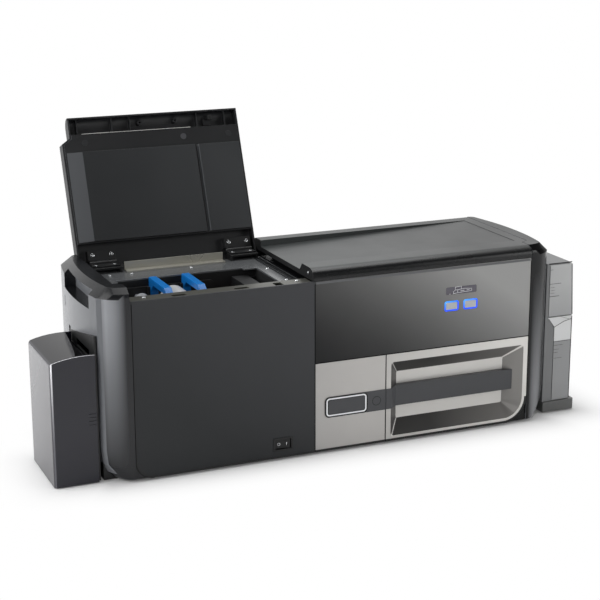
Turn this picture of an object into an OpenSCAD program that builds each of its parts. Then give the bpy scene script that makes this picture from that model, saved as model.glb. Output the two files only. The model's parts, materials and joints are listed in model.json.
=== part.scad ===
// Desktop ID card printer with an in-line laminator.
// X runs along the front, Y to the back, Z up. In the working layout the seam between laminator and
// printer is X = 0, the front panels are Y = 0 and the floor is Z = 0. settled() then moves every
// piece so that the origin lies under the middle of the machine, on the floor.

/* [Body] */
// Width of the laminator front panel, left of the seam
laminator_w = 265; // [250:1:300]
// Width of the printer front panels, right of the seam
printer_w = 347; // [335:1:400]
// Depth from the front panels to the back of the rear panel
body_d = 234; // [230:1:250]
// Height of the rim that the two covers close on
rim_h = 256; // [252:1:275]
// Height of the closed covers above the rim
cover_h = 17; // [15:0.5:22]
// Height of the rubber feet
foot_h = 4; // [3:0.5:8]
// Thickness of the moulded panels
panel_t = 3; // [2:0.25:4]
// Gap between neighbouring outer panels
seam = 0.6; // [0.3:0.1:1.2]
// Thickness of the sheet steel
sheet_t = 2; // [1.5:0.25:2.5]

/* [End caps] */
// Width of an end cap's curved front, from panel to crease
cap_w = 41; // [34:1:50]
// How far back the crease lies
cap_setback = 24; // [16:1:30]
// How far the side bulges past the crease
cap_bulge = 8; // [4:0.5:12]
// Width of the chamfer round the top
cap_chamfer = 14; // [10:0.5:18]
// Width of the cap that stays beside the covers
cap_ledge = 14; // [12:0.5:18]
// Front-to-back length of the hand grip in each cap
grip_l = 126; // [90:1:160]
// Height of the hand grip
grip_h = 26; // [16:1:30]

/* [Printer front] */
// Height of the edge between the dark upper panel and the silver lower panels
split_h = 136.5; // [120:0.5:150]
// Width of the plain silver panel beside the seam
plain_w = 111; // [90:1:120]
// Depth of the recess in the silver bezel
recess_d = 18; // [14:0.5:24]
// Height of the grip bar across the recess
bar_h = 31; // [24:1:36]
// Width of one push button
button_w = 23; // [18:0.5:26]
// Height of one push button
button_h = 15; // [12:0.5:18]
// Width of the display window
display_w = 50; // [40:1:60]
// Height of the display window
display_h = 11; // [8:0.5:16]

/* [Laminator lid] */
// Angle at which the open lid stands, from closed
lid_angle = 111.5; // [90:0.5:115]
// Distance from the hinge axis to the back of the machine
hinge_inset = 19; // [18:0.5:22]
// Wall of the lid and cover mouldings
lid_t = 2.5; // [2:0.25:3]
// Depth of the liner below the lid's rim
liner_drop = 5; // [3:0.25:5.5]

/* [Card path] */
// Height of the path that cards travel along
path_h = 176; // [172:0.5:180]
// Distance from the front panels to the middle of the card path
path_y = 82; // [78:0.5:86]
// Diameter of the laminator's heated roller
heat_roller_d = 24; // [20:0.5:26]
// Diameter of the printer's platen and feed rollers
feed_roller_d = 18; // [14:0.5:20]
// Running clearance of a shaft in its bearing, on the radius
run_fit = 0.08; // [0.04:0.01:0.1]
// Clearance between pieces that move past each other
slip = 0.4; // [0.3:0.05:0.8]

/* [Hoppers] */
// Width of the output hopper, outwards from the end cap
output_w = 62; // [50:1:80]
// Height of the output hopper at its outer edge
output_h = 177; // [160:1:179]
// Front-to-back length of the output hopper
output_l = 122; // [112:1:126]
// How far the output hopper lifts off its hooks
output_lift = 6; // [4:0.5:8]
// Width of the input hopper, outwards from the end cap
input_w = 44; // [38:1:60]
// Height of the input hopper
input_h = 236; // [225:1:240]
// Wall of the hoppers
hopper_t = 2.5; // [2:0.25:3]
// Height of the shelf between the upper and the lower input hopper
shelf_h = 150; // [140:1:160]

/* [Hidden] */
$fn = 48;

// Heights of the layers, from the floor up
pan_top = foot_h + 3;
pan_over = 16;
pan_corner_r = 20;
deck_t = 2.5;
deck_top = rim_h - 8.5;
deck_bottom = deck_top - deck_t;
top_z = rim_h + cover_h;
panel_top = rim_h - 0.5;

// Hinge axis shared by the lid and the top cover
leaf_t = 2;
leaf_gap = 0.5;
knuckle_r = 3.2;
pin_r = 1.5;
axis_y = body_d - hinge_inset;
axis_z = rim_h + leaf_t + leaf_gap / 2;
barrel_r = top_z - axis_z;
hinge_w = 40;
leaf_l = 19;
lid_hinges = [-laminator_w + 4, -51];
cover_hinges = [22, printer_w - 60];

// Sideways layout
lam_x = -laminator_w;
prn_x = printer_w;
right_side = prn_x + cap_w;
ledge_front = 1.8;
cover_gap = 0.8;
lid_right = -4;
cover_left = -2.5;
notch_y = 30;
notch_rise = 8;
edge_t = 3;
front_proud = 1;

// Card path
slot_h = 10;
slot_l = 64;
bay_front = 26;
bay_back = 149;
bay_wall = 2.5;
bay_floor = 110;
lam_bay = [lam_x + 11, -30];
platen_x = 200;
feed_x = 290;
prn_bay = [platen_x - 90, feed_x + 32];
bay_ledge_h = rim_h - 55;
heat_gap = 0.8;
guard_gap = 2;
lam_cart = [-240, -98];
heat_x = lam_cart[1] + guard_gap + heat_roller_d / 2;
guard_x = heat_x + heat_roller_d / 2 + guard_gap;
heat_z = path_h + heat_gap + heat_roller_d / 2;
press_z = path_h - heat_roller_d / 2;
gear_n = 24;
pinion_n = 12;
lam_module = (heat_z - press_z) / gear_n;
lam_motor_z = press_z - lam_module * (gear_n + pinion_n) / 2;
platen_z = path_h - feed_roller_d / 2;
prn_module = 1;
prn_motor_z = platen_z - prn_module * (gear_n + pinion_n) / 2;
gear_y = bay_back + 3;
gear_t = 5;
motor_y = bay_back + 14;
shaft_r = 4;
motor_shaft_r = 2.5;

// Cartridges
cart_front = bay_front + bay_wall + 2.5;
cart_back = bay_back - bay_wall - 2.5;
cart_t = 2.5;
cart_h = 35;
cart_top = bay_ledge_h + cart_h;
rib_cart = [142, 262];
roll_x = -168;
roll_z = bay_ledge_h + 19;
roll_r = 20;
waste_x = -214;
waste_z = bay_ledge_h + 21;
waste_r = 11;
roll_half = 32;
roll_over = 6;
handle_xs = [-190, -141];
handle_w = 11;
ribbon_xs = [162, 243];
ribbon_z = bay_ledge_h + 17;
supply_r = 15;
take_up_r = 10;

// Printer front
half_seam = seam / 2;
upper_z = [split_h + half_seam, panel_top];
lower_z = [foot_h, split_h - half_seam];
bezel_x = [plain_w + half_seam, prn_x - half_seam];
bezel_margin = [8, 7, 7, 12.5];
bevel = [17, 26, 21, 21];
corner_r = 38;
lam_corner_r = 25;
bar_z = 69;
display_x = prn_x - 116;
display_z = rim_h - 36.5;
button_xs = [display_x - 15.5, display_x + 15.5];
button_z = rim_h - 59;
ring_t = 2;
badge_l = 96;
lock_x = plain_w - 15;
lock_r = 6.3;
switch_x = -49.25;
switch_z = 24;
switch_w = 30;
switch_h = 20;

// Hoppers
lock_slot_y = 174;
mount_u = cap_w + 2;
mount_t = 3;
mount_y = [24, 150];
hopper_top = path_h + 7;
mount_h = hopper_top + 2;
mount_rise = 22;
fin_h = 6;
fin_l = 12;
mount_left = lam_x - half_seam - mount_u;
mount_right = prn_x + half_seam + mount_u;
hopper_x = mount_left - mount_t - slip;
hopper_y = 20;
input_x = mount_right + mount_t;
input_y = [26, 108.5];
tray_h = 18;
door_t = 2;
box_x = prn_x + 3;
box_y = [34, 108.5];
box_top = 230;
base_y = [22, 118];
lift_gap = 0.3;

// Middle of the whole machine with the lid open, where the origin lies
lid_back = max([for (p = cover_profile(0, rim_h)) swing_y(p)]);
mid_x = (hopper_x - output_w + input_x + input_w + 9) / 2;
mid_y = (lid_back - front_proud) / 2;

// ---- shapes shared by several pieces ----

// Where a point of the closed lid lies, front to back, when the lid stands open
function swing_y(p) =
    axis_y + (p[0] - axis_y) * cos(lid_angle) + (p[1] - axis_z) * sin(lid_angle);

// A smooth bend from a to b that is pulled towards m
function bend(a, m, b, n = 6) =
    [for (i = [0:n]) let (t = i / n) a * pow(1 - t, 2) + 2 * m * t * (1 - t) + b * pow(t, 2)];

// Points along a circular arc round c
function arc(c, r, from, to, n = 8) =
    [for (i = [0:n]) let (a = from + (to - from) * i / n) c + r * [cos(a), sin(a)]];

// Side profile of a closed cover, drawn in by i, with its bottom edge at height z
function cover_profile(i, z) = concat(
    [[i, z]],
    bend([i, rim_h + 4], [0.6 + i, top_z - 2 - i], [cap_chamfer + i / 2, top_z - i]),
    arc([axis_y, axis_z], barrel_r - i, 90, 0),
    [[axis_y + barrel_r - i, z]]
);

// Outline of an end cap seen from above, in distance outwards from the front panel's edge.
// side and front draw it in, squeeze narrows it.
function cap_plan(side = 0, front = 0, squeeze = 1) = [
    for (p = concat(
        bend([0, front], [26, front], [cap_w - side, cap_setback + side / 3]),
        bend(
            [cap_w - side, cap_setback + side / 3],
            [cap_w + 2 * cap_bulge - side, body_d / 2],
            [cap_w - 4 - side, body_d - cap_ledge - side / 2],
            10
        ),
        bend(
            [cap_w - 4 - side, body_d - cap_ledge - side / 2],
            [cap_w - 6 - side, body_d - side],
            [cap_w - 19 - side, body_d - side],
            4
        )
    )) [p[0] * squeeze, p[1]]
];

module block(a, b) {
    translate(a) cube(b - a);
}

// An outline drawn in X and Z, carried from y0 back to y1
module along_y(y0, y1) {
    translate([0, y1, 0]) rotate([90, 0, 0]) linear_extrude(y1 - y0) children();
}

// An outline drawn in Y and Z, carried from x0 to x1
module along_x(x0, x1) {
    translate([x0, 0, 0]) rotate([90, 0, 90]) linear_extrude(x1 - x0) children();
}

// A rectangle from corner a to corner b with corners rounded to r
module rounded(a, b, r) {
    translate(a + [r, 0]) square([b[0] - a[0] - 2 * r, b[1] - a[1]]);
    translate(a + [0, r]) square([b[0] - a[0], b[1] - a[1] - 2 * r]);
    for (x = [a[0] + r, b[0] - r], y = [a[1] + r, b[1] - r]) translate([x, y]) circle(r);
}

// A straight round bar from back to front, centred on x and z
module shaft_y(x, z, r, y0, y1) {
    translate([x, y0, z]) rotate([-90, 0, 0]) cylinder(r = r, h = y1 - y0);
}

// The same bar from left to right
module shaft_x(y, z, r, x0, x1) {
    translate([x0, y, z]) rotate([0, 90, 0]) cylinder(r = r, h = x1 - x0);
}

// The slot that cards pass through, from x0 to x1
module card_slot(x0, x1) {
    block(
        [x0, path_y - slot_l / 2, path_h - slot_h / 2],
        [x1, path_y + slot_l / 2, path_h + slot_h / 2]
    );
}

// Moves a piece from the working layout to the machine's own origin
module settled() {
    translate([-mid_x, -mid_y, 0]) children();
}

// Turns a piece drawn on the closed lid to where the open lid holds it
module on_open_lid() {
    translate([0, axis_y, axis_z]) rotate([-lid_angle, 0, 0]) translate([0, -axis_y, -axis_z])
        children();
}

// An involute spur gear's outline, with its first tooth on the X axis
module gear_outline(n, m, bore, turn = 0) {
    pitch_r = n * m / 2;
    base_r = pitch_r * cos(20);
    root_r = pitch_r - 1.25 * m;
    tip_r = pitch_r + 0.92 * m;
    rs = [for (i = [0:3]) base_r + 0.02 + (tip_r - base_r - 0.02) * i / 3];
    function inv(r) = let (a = acos(base_r / r)) tan(a) * 180 / PI - a;
    function half(r) = 82 / n + inv(pitch_r) - inv(r);
    difference() {
        polygon([
            for (k = [0:n - 1], p = concat(
                [[root_r, -half(rs[0])]],
                [for (r = rs) [r, -half(r)]],
                [for (i = [3:-1:0]) [rs[i], half(rs[i])]],
                [[root_r, half(rs[0])]]
            )) let (a = turn + k * 360 / n + p[1]) p[0] * [cos(a), sin(a)]
        ]);
        circle(bore);
    }
}

module gear(x, z, n, m, bore, turn = 0) {
    translate([x, gear_y + gear_t, z]) rotate([90, 0, 0])
        linear_extrude(gear_t) gear_outline(n, m, bore, turn);
}

// ---- casing ----

module pan_outline(inset) {
    rounded(
        [lam_x - pan_over + inset, panel_t + inset],
        [prn_x + pan_over - inset, body_d - sheet_t - inset], pan_corner_r - inset
    );
}

module base_pan() {
    wall_top = pan_top + 4.5;
    vent_y = body_d - 74;
    settled() color("#26282a") difference() {
        translate([0, 0, foot_h]) linear_extrude(wall_top - foot_h) pan_outline(0);
        translate([0, 0, pan_top]) linear_extrude(wall_top) pan_outline(sheet_t);
        for (x0 = [lam_x + 35, prn_bay[0] + 20], i = [0:10]) translate([x0 + i * 14, vent_y, 0])
            linear_extrude(wall_top) rounded([0, 0], [5, 50], 2.4);
    }
}

module rubber_feet() {
    settled() color("#151515")
        for (x = [lam_x + 10, 41, prn_x - 10], y = [34, body_d - 34])
            translate([x, y, 0]) rotate_extrude()
                polygon([[0, 0], [8, 0], [9.5, 1.2], [9.5, foot_h], [0, foot_h]]);
}

module rear_panel() {
    settled() color("#2c2e30") difference() {
        along_y(body_d - sheet_t, body_d) rounded(
            [lam_x - cap_ledge + half_seam, foot_h + 2],
            [prn_x + cap_ledge - half_seam, panel_top], 3
        );
        for (i = [0:11]) along_y(body_d - 5, body_d + 5) {
            translate([-110, 90 + i * 9]) rounded([-40, 0], [40, 4], 1.9);
            translate([60, 90 + i * 9]) rounded([-30, 0], [30, 4], 1.9);
        }
        along_y(body_d - 5, body_d + 5) inlet_outline(0.3);
        for (s = sockets) along_y(body_d - 5, body_d + 5)
            translate([s[0] - 0.4, s[1] - 0.4]) square([s[2] + 0.8, s[3] + 0.8]);
    }
}

module laminator_front_panel() {
    low = foot_h + 40;
    high = panel_top - 59.5;
    rib_zs = [low, (low + high) / 2, high];
    settled() color("#36373a") difference() {
        union() {
            along_y(0, panel_t) difference() {
                lam_outline();
                translate([switch_x - switch_w / 2 + 1.5, switch_z - switch_h / 2 + 1.5])
                    square([switch_w - 3, switch_h - 3]);
            }
            for (z = rib_zs) block([lam_x + 6, panel_t, z], [-8, panel_t + 10, z + 2]);
            for (x = [lam_x + 65, lam_x + 130, lam_x + 185])
                block([x, panel_t, rib_zs[0]], [x + 2, panel_t + 9, rib_zs[2] + 2]);
        }
    }
}

// Front view of the laminator panel, with its lower outer corner rounded
module lam_outline() {
    c = [lam_x + lam_corner_r, foot_h + lam_corner_r];
    polygon(concat(
        [[-half_seam, foot_h], [-half_seam, panel_top], [lam_x, panel_top]],
        arc(c, lam_corner_r, 180, 270, 10)
    ));
}

// The space above an end cap's ledge that a cover closes into
module cover_space(grow, bottom, front = -20) {
    translate([0, 0, bottom]) linear_extrude(top_z) polygon([
        [-20, front], [ledge_front + grow, front], [ledge_front + grow, notch_y + grow / 3],
        [cap_ledge + grow, notch_y + notch_rise + grow / 3], [cap_ledge + grow, body_d + 20],
        [-20, body_d + 20]
    ]);
}

// Solid form of an end cap, drawn in by i all round. Its foot is squeezed in towards the panel.
module cap_form(i) {
    shoulder = top_z - cap_chamfer - i / 2;
    foot = foot_h + 1 - i / 50;
    wall = [for (s = [[0, 0.6], [8, 0.8], [21, 0.94]]) [foot + s[0], 0.01, 0, 0, s[1]]];
    slabs = concat(wall, [
        [foot + 41, shoulder - foot - 41, 0, 0, 1],
        [shoulder + cap_chamfer / 2, 0.01, cap_chamfer / 2, 1.6, 1],
        [top_z - i, 0.01, cap_chamfer, 12, 1]
    ]);
    hull() for (s = slabs) translate([0, 0, s[0]]) linear_extrude(s[1])
        cap_body(s[2] + i / s[4], s[3] + i, s[4]);
}

// An end cap's outline closed along the panel edge
module cap_body(side, front, squeeze) {
    plan = cap_plan(side, front, squeeze);
    last = plan[len(plan) - 1];
    polygon(concat([[0, front]], plan, [[0, last[1]]]));
}

// The right end cap, with X as the distance outwards from the front panel's edge. pocket_top is
// the height of the hopper's pocket at its front and back, and window is the opening in its side,
// from one corner to the other in Y and Z.
module end_cap(pocket_top, window) {
    grip_y = body_d / 2 - 6 - grip_l / 2;
    grip_z = top_z - cap_chamfer / 2 - 1 - grip_h;
    difference() {
        union() {
            difference() {
                cap_form(0);
                cover_space(0, deck_bottom - 2 * edge_t, edge_t);
                block([-20, -20, panel_top], [ledge_front, edge_t + 1, top_z + 1]);
                difference() {
                    union() {
                        cap_form(edge_t);
                        block([-1, edge_t, 0], [1, body_d + 1, top_z]);
                    }
                    cover_space(edge_t, deck_top - edge_t);
                }
                block([-1, body_d - 2 * edge_t, 0], [cap_ledge, body_d + 1, top_z]);
            }
            intersection() {
                cap_form(0.2);
                difference() {
                    block([26, grip_y - 2, grip_z - 2], [60, grip_y + grip_l + 2, grip_z + grip_h + 2]);
                    block([28, grip_y, grip_z], [61, grip_y + grip_l, grip_z + grip_h]);
                }
            }
        }
        block([28, grip_y, grip_z], [61, grip_y + grip_l, grip_z + grip_h]);
        along_x(mount_u, 70) polygon([
            [mount_y[0], -1], [mount_y[1], -1], [mount_y[1], pocket_top[1] + lift_gap],
            [mount_y[0], pocket_top[0] + lift_gap]
        ]);
        block([mount_u - 12, window[0][0], window[0][1]], [70, window[1][0], window[1][1]]);
    }
}

module left_end_cap() {
    settled() color("#55585b") translate([lam_x - half_seam, 0, 0]) mirror([1, 0, 0]) difference() {
        end_cap([mount_h + mount_rise, mount_h], [
            [path_y - slot_l / 2, path_h - slot_h / 2], [path_y + slot_l / 2, path_h + slot_h / 2]
        ]);
        block([cap_w - 10, lock_slot_y, top_z - 61], [70, lock_slot_y + 3.5, top_z - 46]);
        block([mount_u, mount_y[1] - fin_l - 1, path_h], [70, mount_y[1], mount_h + fin_h + 0.3]);
    }
}

module right_end_cap() {
    settled() color("#55585b") translate([prn_x + half_seam, 0, 0]) end_cap([input_h, input_h], [
        [box_y[0] - hopper_t - lift_gap, tray_h + 5 - lift_gap], [box_y[1] + lift_gap, box_top + lift_gap]
    ]);
}

module dividing_wall() {
    front = panel_t + sheet_t + 0.3;
    settled() color("#1d1e20") difference() {
        along_x(cover_left, -0.2) polygon([
            [front, pan_top], [body_d - 10, pan_top], [body_d - 10, deck_bottom - 6],
            [axis_y - 18, deck_bottom - 6], [axis_y - 18, deck_bottom], [front, deck_bottom]
        ]);
        card_slot(cover_left - 1, 1);
        along_x(cover_left - 1, 1) translate([axis_y - 25, 60]) rounded([-14, -24], [14, 24], 6);
    }
}

// ---- laminator bay ----

// An open-topped tub across the card path, standing on the base pan, with a ledge for its
// cartridge and round holes for the shafts listed as [x, z, radius]
module bay(xs, cart, bores) {
    difference() {
        union() {
            difference() {
                block([xs[0], bay_front, bay_floor], [xs[1], bay_back, deck_bottom]);
                block(
                    [xs[0] + bay_wall, bay_front + bay_wall, bay_floor + bay_wall],
                    [xs[1] - bay_wall, bay_back - bay_wall, deck_bottom + 1]
                );
            }
            for (y = [bay_front, bay_back - bay_wall]) difference() {
                block([xs[0], y, pan_top], [xs[1], y + bay_wall, bay_floor]);
                along_y(y - 1, y + bay_wall + 1) rounded([xs[0] + 20, 20], [xs[1] - 20, bay_floor - 12], 10);
            }
            for (y = [
                [bay_front + bay_wall, cart_front + cart_t + 4],
                [cart_back - cart_t - 4, bay_back - bay_wall]
            ]) block([cart[0], y[0], bay_ledge_h - 5], [cart[1], y[1], bay_ledge_h]);
        }
        card_slot(xs[0] - 1, xs[1] + 1);
        for (b = bores) shaft_y(b[0], b[1], b[2], bay_front - 1, bay_back + 1);
    }
}

module laminator_bay() {
    settled() color("#1b1c1e") bay(lam_bay, lam_cart, [
        [heat_x, heat_z, shaft_r + run_fit],
        [heat_x, press_z, shaft_r + run_fit]
    ]);
}

// A deck round a bay's opening: outline less opening
module laminator_deck() {
    front_x = lam_x - ledge_front + cover_gap + 0.7;
    back_x = lam_x - cap_ledge + cover_gap + 1.2;
    settled() color("#3a3b3c") translate([0, 0, deck_bottom]) linear_extrude(deck_t) difference() {
        polygon([
            [front_x, panel_t + 0.5], [cover_left - 0.3, panel_t + 0.5], [cover_left - 0.3, axis_y - 11],
            [back_x, axis_y - 11], [back_x, notch_y + notch_rise + 1], [front_x, notch_y + 1]
        ]);
        polygon([
            [lam_bay[0] + bay_wall, bay_front + bay_wall], [lam_bay[1] - bay_wall, bay_front + bay_wall],
            [lam_bay[1] - bay_wall, bay_back - 11], [lam_bay[1] - 22, bay_back - 11],
            [lam_bay[1] - 22, bay_back - bay_wall], [lam_cart[0] - 3, bay_back - bay_wall],
            [lam_cart[0] - 3, bay_back - 13], [lam_bay[0] + bay_wall, bay_back - 13]
        ]);
    }
}

// Steel rail behind the front panel and steel upstand behind the deck
module deck_rails() {
    rail_top = deck_top + 7;
    x = [lam_x + 0.5, cover_left - 0.5];
    hook_x = [hook_at - 6, hook_at + 6];
    upstand_y = axis_y - 17;
    upstand_x = [lid_hinges[0] + hinge_w + 7, lid_hinges[1] - 12];
    settled() color("#8d8d88") {
        difference() {
            union() {
                block([x[0], panel_t + 0.5, rail_top - sheet_t], [x[1], bay_front + 2, rail_top]);
                block([x[0], bay_front, deck_top], [x[1], bay_front + 2, rail_top]);
            }
            block([hook_x[0], 6, rail_top - 5], [hook_x[1], 21, rail_top + 1]);
            for (slot_x = [lam_x + 60, lam_x + 150]) translate([slot_x, 9, rail_top - 5])
                linear_extrude(8) rounded([0, 0], [22, 8], 3.9);
        }
        block([upstand_x[0], upstand_y, deck_top], [upstand_x[1], upstand_y + sheet_t, deck_top + 13]);
        block([upstand_x[0], upstand_y - 12, deck_top], [upstand_x[1], upstand_y, deck_top + sheet_t]);
    }
}

hook_at = -50;

// Blocks that carry the hinges' lower leaves, on the decks
module hinge_blocks() {
    settled() color("#17181a")
        for (x = concat(lid_hinges, cover_hinges)) difference() {
            block([x - 2, axis_y - 25, deck_top], [x + hinge_w + 2, axis_y - 7, rim_h]);
            block([x + 2, axis_y - 26, deck_top - 1], [x + hinge_w - 2, axis_y - 10, rim_h - 3]);
        }
}

// A leaf lies between height z0 and z0 + leaf_t and carries the knuckles that span xs
module leaf(x, z0, xs, bore) {
    difference() {
        union() {
            block([x, axis_y - leaf_l, z0], [x + hinge_w, axis_y - knuckle_r - slip, z0 + leaf_t]);
            for (s = xs) {
                block([x + s[0], axis_y - knuckle_r - slip, z0], [x + s[1], axis_y, z0 + leaf_t]);
                shaft_x(axis_y, axis_z, knuckle_r, x + s[0], x + s[1]);
            }
        }
        shaft_x(axis_y, axis_z, bore, x - 1, x + hinge_w + 1);
        for (sx = [6, hinge_w - 6]) translate([x + sx, axis_y - 12, z0 - 1]) cylinder(r = 1.6, h = 5);
    }
}

outer_knuckles = [[0, 10], [hinge_w - 10, hinge_w]];
inner_knuckle = [[10 + slip, hinge_w - 10 - slip]];

module body_hinge_leaves() {
    settled() color("#141516")
        for (x = concat(lid_hinges, cover_hinges)) leaf(x, rim_h, outer_knuckles, pin_r);
}

module lid_hinge_leaves() {
    settled() color("#141516") on_open_lid()
        for (x = lid_hinges) leaf(x, axis_z + leaf_gap / 2, inner_knuckle, pin_r + run_fit);
}

module hinge_pins() {
    settled() color("#9a9c9e")
        for (x = concat(lid_hinges, cover_hinges)) shaft_x(axis_y, axis_z, pin_r, x, x + hinge_w);
}

// ---- laminator lid ----

// Outline of the lid seen from above, drawn in by i
module lid_plan(i) {
    front_x = lam_x - ledge_front + cover_gap + i;
    back_x = lam_x - cap_ledge + cover_gap + i;
    polygon([
        [front_x, -5], [lid_right - i, -5], [lid_right - i, body_d], [back_x, body_d],
        [back_x, notch_y + notch_rise + i / 3], [front_x, notch_y + i / 3]
    ]);
}

// A rib under a cover's skin that runs from its front wall back to y
module cover_rib(x, w, y) {
    i = lid_t - 0.3;
    along_x(x, x + w) polygon(concat(
        [[y, rim_h + 4]],
        bend([i, rim_h + 4], [0.6 + i, top_z - 2 - i], [cap_chamfer + i / 2, top_z - i]),
        [[y, top_z - i]]
    ));
}

lid_rib_xs = [-253, -200, -172, -68, -24];
lid_boss_spots = [[-247, 38], [-165, 38], [-93, 38], [-22, 38]];

module laminator_lid() {
    skin = top_z - lid_t;
    settled() color("#2a2c2e") on_open_lid() {
        difference() {
            intersection() {
                along_x(lam_x - 30, 0) polygon(cover_profile(0, rim_h));
                translate([0, 0, rim_h - 1]) linear_extrude(cover_h + 2) lid_plan(0);
            }
            intersection() {
                along_x(lam_x - 30, 0) polygon(cover_profile(lid_t, rim_h - 1));
                translate([0, 0, rim_h - 2]) linear_extrude(cover_h + 4) lid_plan(lid_t);
            }
            for (x = lid_hinges)
                block([x - 3, axis_y + 1, rim_h - 1], [x + hinge_w + 3, body_d, axis_z + 0.1]);
        }
        for (x = lid_rib_xs) cover_rib(x, 1.6, liner_y[0] - 0.6);
        block([hook_at - 6, 9, skin - 4], [hook_at + 6, 22, skin + 0.1]);
        for (p = lid_boss_spots) translate([p[0], p[1], rim_h + 2])
            cylinder(r = 4, h = cover_h - 2 - lid_t + 0.1);
        for (x = [-156, -101]) translate([x, 12, rim_h + 5]) difference() {
            cylinder(r = 3.5, h = cover_h - 5 - lid_t + 0.1);
            translate([0, 0, -1]) cylinder(r = 1.6, h = 6);
        }
        for (x = lid_hinges) block(
            [x - 1, axis_y - leaf_l, axis_z + leaf_gap / 2 + leaf_t],
            [x + hinge_w + 1, axis_y - 4, skin + 0.1]
        );
    }
}

// A shallow tray that hangs below the lid's rim, open towards the lid
module liner_tray(x0, x1, slope, y0, y1, drop) {
    low = rim_h - drop;
    difference() {
        along_y(y0, y1) polygon([
            [x0, rim_h + 2], [x0, rim_h], [x0 + slope, low], [x1, low], [x1, rim_h + 2]
        ]);
        along_y(y0 + 2, y1 - 2) polygon([
            [x0 + 2, rim_h + 3], [x0 + 2, rim_h + 1.2], [x0 + slope + 0.6, low + 2], [x1 - 2, low + 2],
            [x1 - 2, rim_h + 3]
        ]);
    }
}

liner_y = [25, axis_y - 29];
tray_y = [52, axis_y - 31];
tray_x = [lam_x - 8, -78];
side_tray_x = [-74, -8];

module lid_liner() {
    settled() color("#2a2c2e") on_open_lid() {
        difference() {
            intersection() {
                block([lam_x - 20, liner_y[0], rim_h], [0, liner_y[1], rim_h + 2]);
                translate([0, 0, rim_h - 1]) linear_extrude(6) lid_plan(lid_t + 0.3);
            }
            for (x = [tray_x, side_tray_x])
                block([x[0] + 1, tray_y[0] + 1, rim_h - 1], [x[1] - 1, tray_y[1] - 1, rim_h + 3]);
        }
        liner_tray(tray_x[0], tray_x[1], 22, tray_y[0], tray_y[1], liner_drop);
        liner_tray(side_tray_x[0], side_tray_x[1], 2, tray_y[0], tray_y[1], liner_drop - 1);
    }
}

module lid_latch_hook() {
    skin = top_z - lid_t - 4;
    settled() color("#8f9194") on_open_lid() along_x(hook_at - 3, hook_at + 3) polygon([
        [10, skin], [10, rim_h - 7], [16, rim_h - 7], [18, rim_h - 5], [14, rim_h - 3.5], [14, skin]
    ]);
}

// ---- laminate cartridge ----

// Two end plates joined by beams that rest on a bay's ledges, with round holes
// listed as [x, z, radius]
module cartridge(xs, bores) {
    difference() {
        union() {
            for (y = [cart_front, cart_back - cart_t]) along_y(y, y + cart_t)
                rounded([xs[0], bay_ledge_h], [xs[1], cart_top], 6);
            for (x = [xs[0] + 2, xs[1] - 8])
                block([x, cart_front, bay_ledge_h], [x + 6, cart_back, bay_ledge_h + 6]);
        }
        for (b = bores) shaft_y(b[0], b[1], b[2], cart_front - 1, cart_back + 1);
    }
}

module laminate_cartridge() {
    settled() color("#191a1c") difference() {
        union() {
            cartridge(lam_cart, [
                [roll_x, roll_z, shaft_r + run_fit],
                [waste_x, waste_z, shaft_r + run_fit]
            ]);
            for (x = handle_xs) block(
                [x - handle_w / 2 - 3, cart_back - 8, bay_ledge_h + 20],
                [x + handle_w / 2 + 3, cart_back - 2, cart_top]
            );
        }
        for (x = handle_xs) block(
            [x - handle_w / 2, cart_back - 9, bay_ledge_h + 22],
            [x + handle_w / 2, cart_back + 1, cart_top + 1]
        );
    }
}

// The two blue handles that the cartridge is lifted out by
module blue_handles() {
    top = rim_h - 6.5;
    foot = bay_ledge_h + 22;
    tip = cart_front + 27;
    settled() color("#1a7fd4")
        for (x = handle_xs) along_x(x - handle_w / 2, x + handle_w / 2) polygon([
            [cart_back, foot], [cart_back, top - 2], [cart_back - 2, top], [tip + 16, top],
            [tip + 2, top - 9], [tip, top - 17], [tip + 8, top - 16], [tip + 19, top - 9],
            [cart_back - 20, top - 9], [cart_back - 11, top - 18], [cart_back - 11, foot]
        ]);
}

// A wound spool between the end plates: core, roll and the two shaft ends. The roll reaches over
// further back than it does in front.
module spool(x, z, r, over = 0) {
    y0 = path_y - roll_half;
    y1 = path_y + roll_half + over;
    shaft_y(x, z, shaft_r, cart_front, cart_back);
    shaft_y(x, z, r, y0, y1);
    shaft_y(x, z, shaft_r + 3, y0 - 6, y1 + 6);
}

module laminate_roll() {
    settled() color("#c9cbcc") spool(roll_x, roll_z, roll_r, roll_over);
}

module waste_spool() {
    settled() color("#a9adb0") spool(waste_x, waste_z, waste_r, roll_over);
}

// ---- laminator rollers and drive ----

// A roller whose sleeve reaches half to each side of the card path, with its shaft back to end
module roller(x, z, r, half, end) {
    shaft_y(x, z, r, path_y - half, path_y + half);
    shaft_y(x, z, shaft_r + 2, bay_front + bay_wall + 1, bay_back - bay_wall - 1);
    shaft_y(x, z, shaft_r, bay_front, end);
}

module heated_roller() {
    settled() color("#7a2f22") roller(heat_x, heat_z, heat_roller_d / 2, 36, gear_y + gear_t);
}

module pressure_roller() {
    settled() color("#2b2b2b") roller(heat_x, press_z, heat_roller_d / 2, 36, gear_y + gear_t);
}

module heated_roller_gear() {
    settled() color("#d8d4c8") gear(heat_x, heat_z, gear_n, lam_module, shaft_r);
}

module pressure_roller_gear() {
    settled() color("#d8d4c8") gear(heat_x, press_z, gear_n, lam_module, shaft_r, 180 / gear_n);
}

// A drive motor behind a bay, on four standoffs
module motor(x, z) {
    difference() {
        union() {
            shaft_y(x, z, 20, motor_y + 3, motor_y + 32);
            along_y(motor_y, motor_y + 3) rounded([x - 22, z - 22], [x + 22, z + 22], 5);
        }
        shaft_y(x, z, motor_shaft_r + run_fit, motor_y - 1, motor_y + 12);
    }
    for (sx = [-17, 17], sz = [-17, 17]) shaft_y(x + sx, z + sz, 3, bay_back, motor_y);
}

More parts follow.
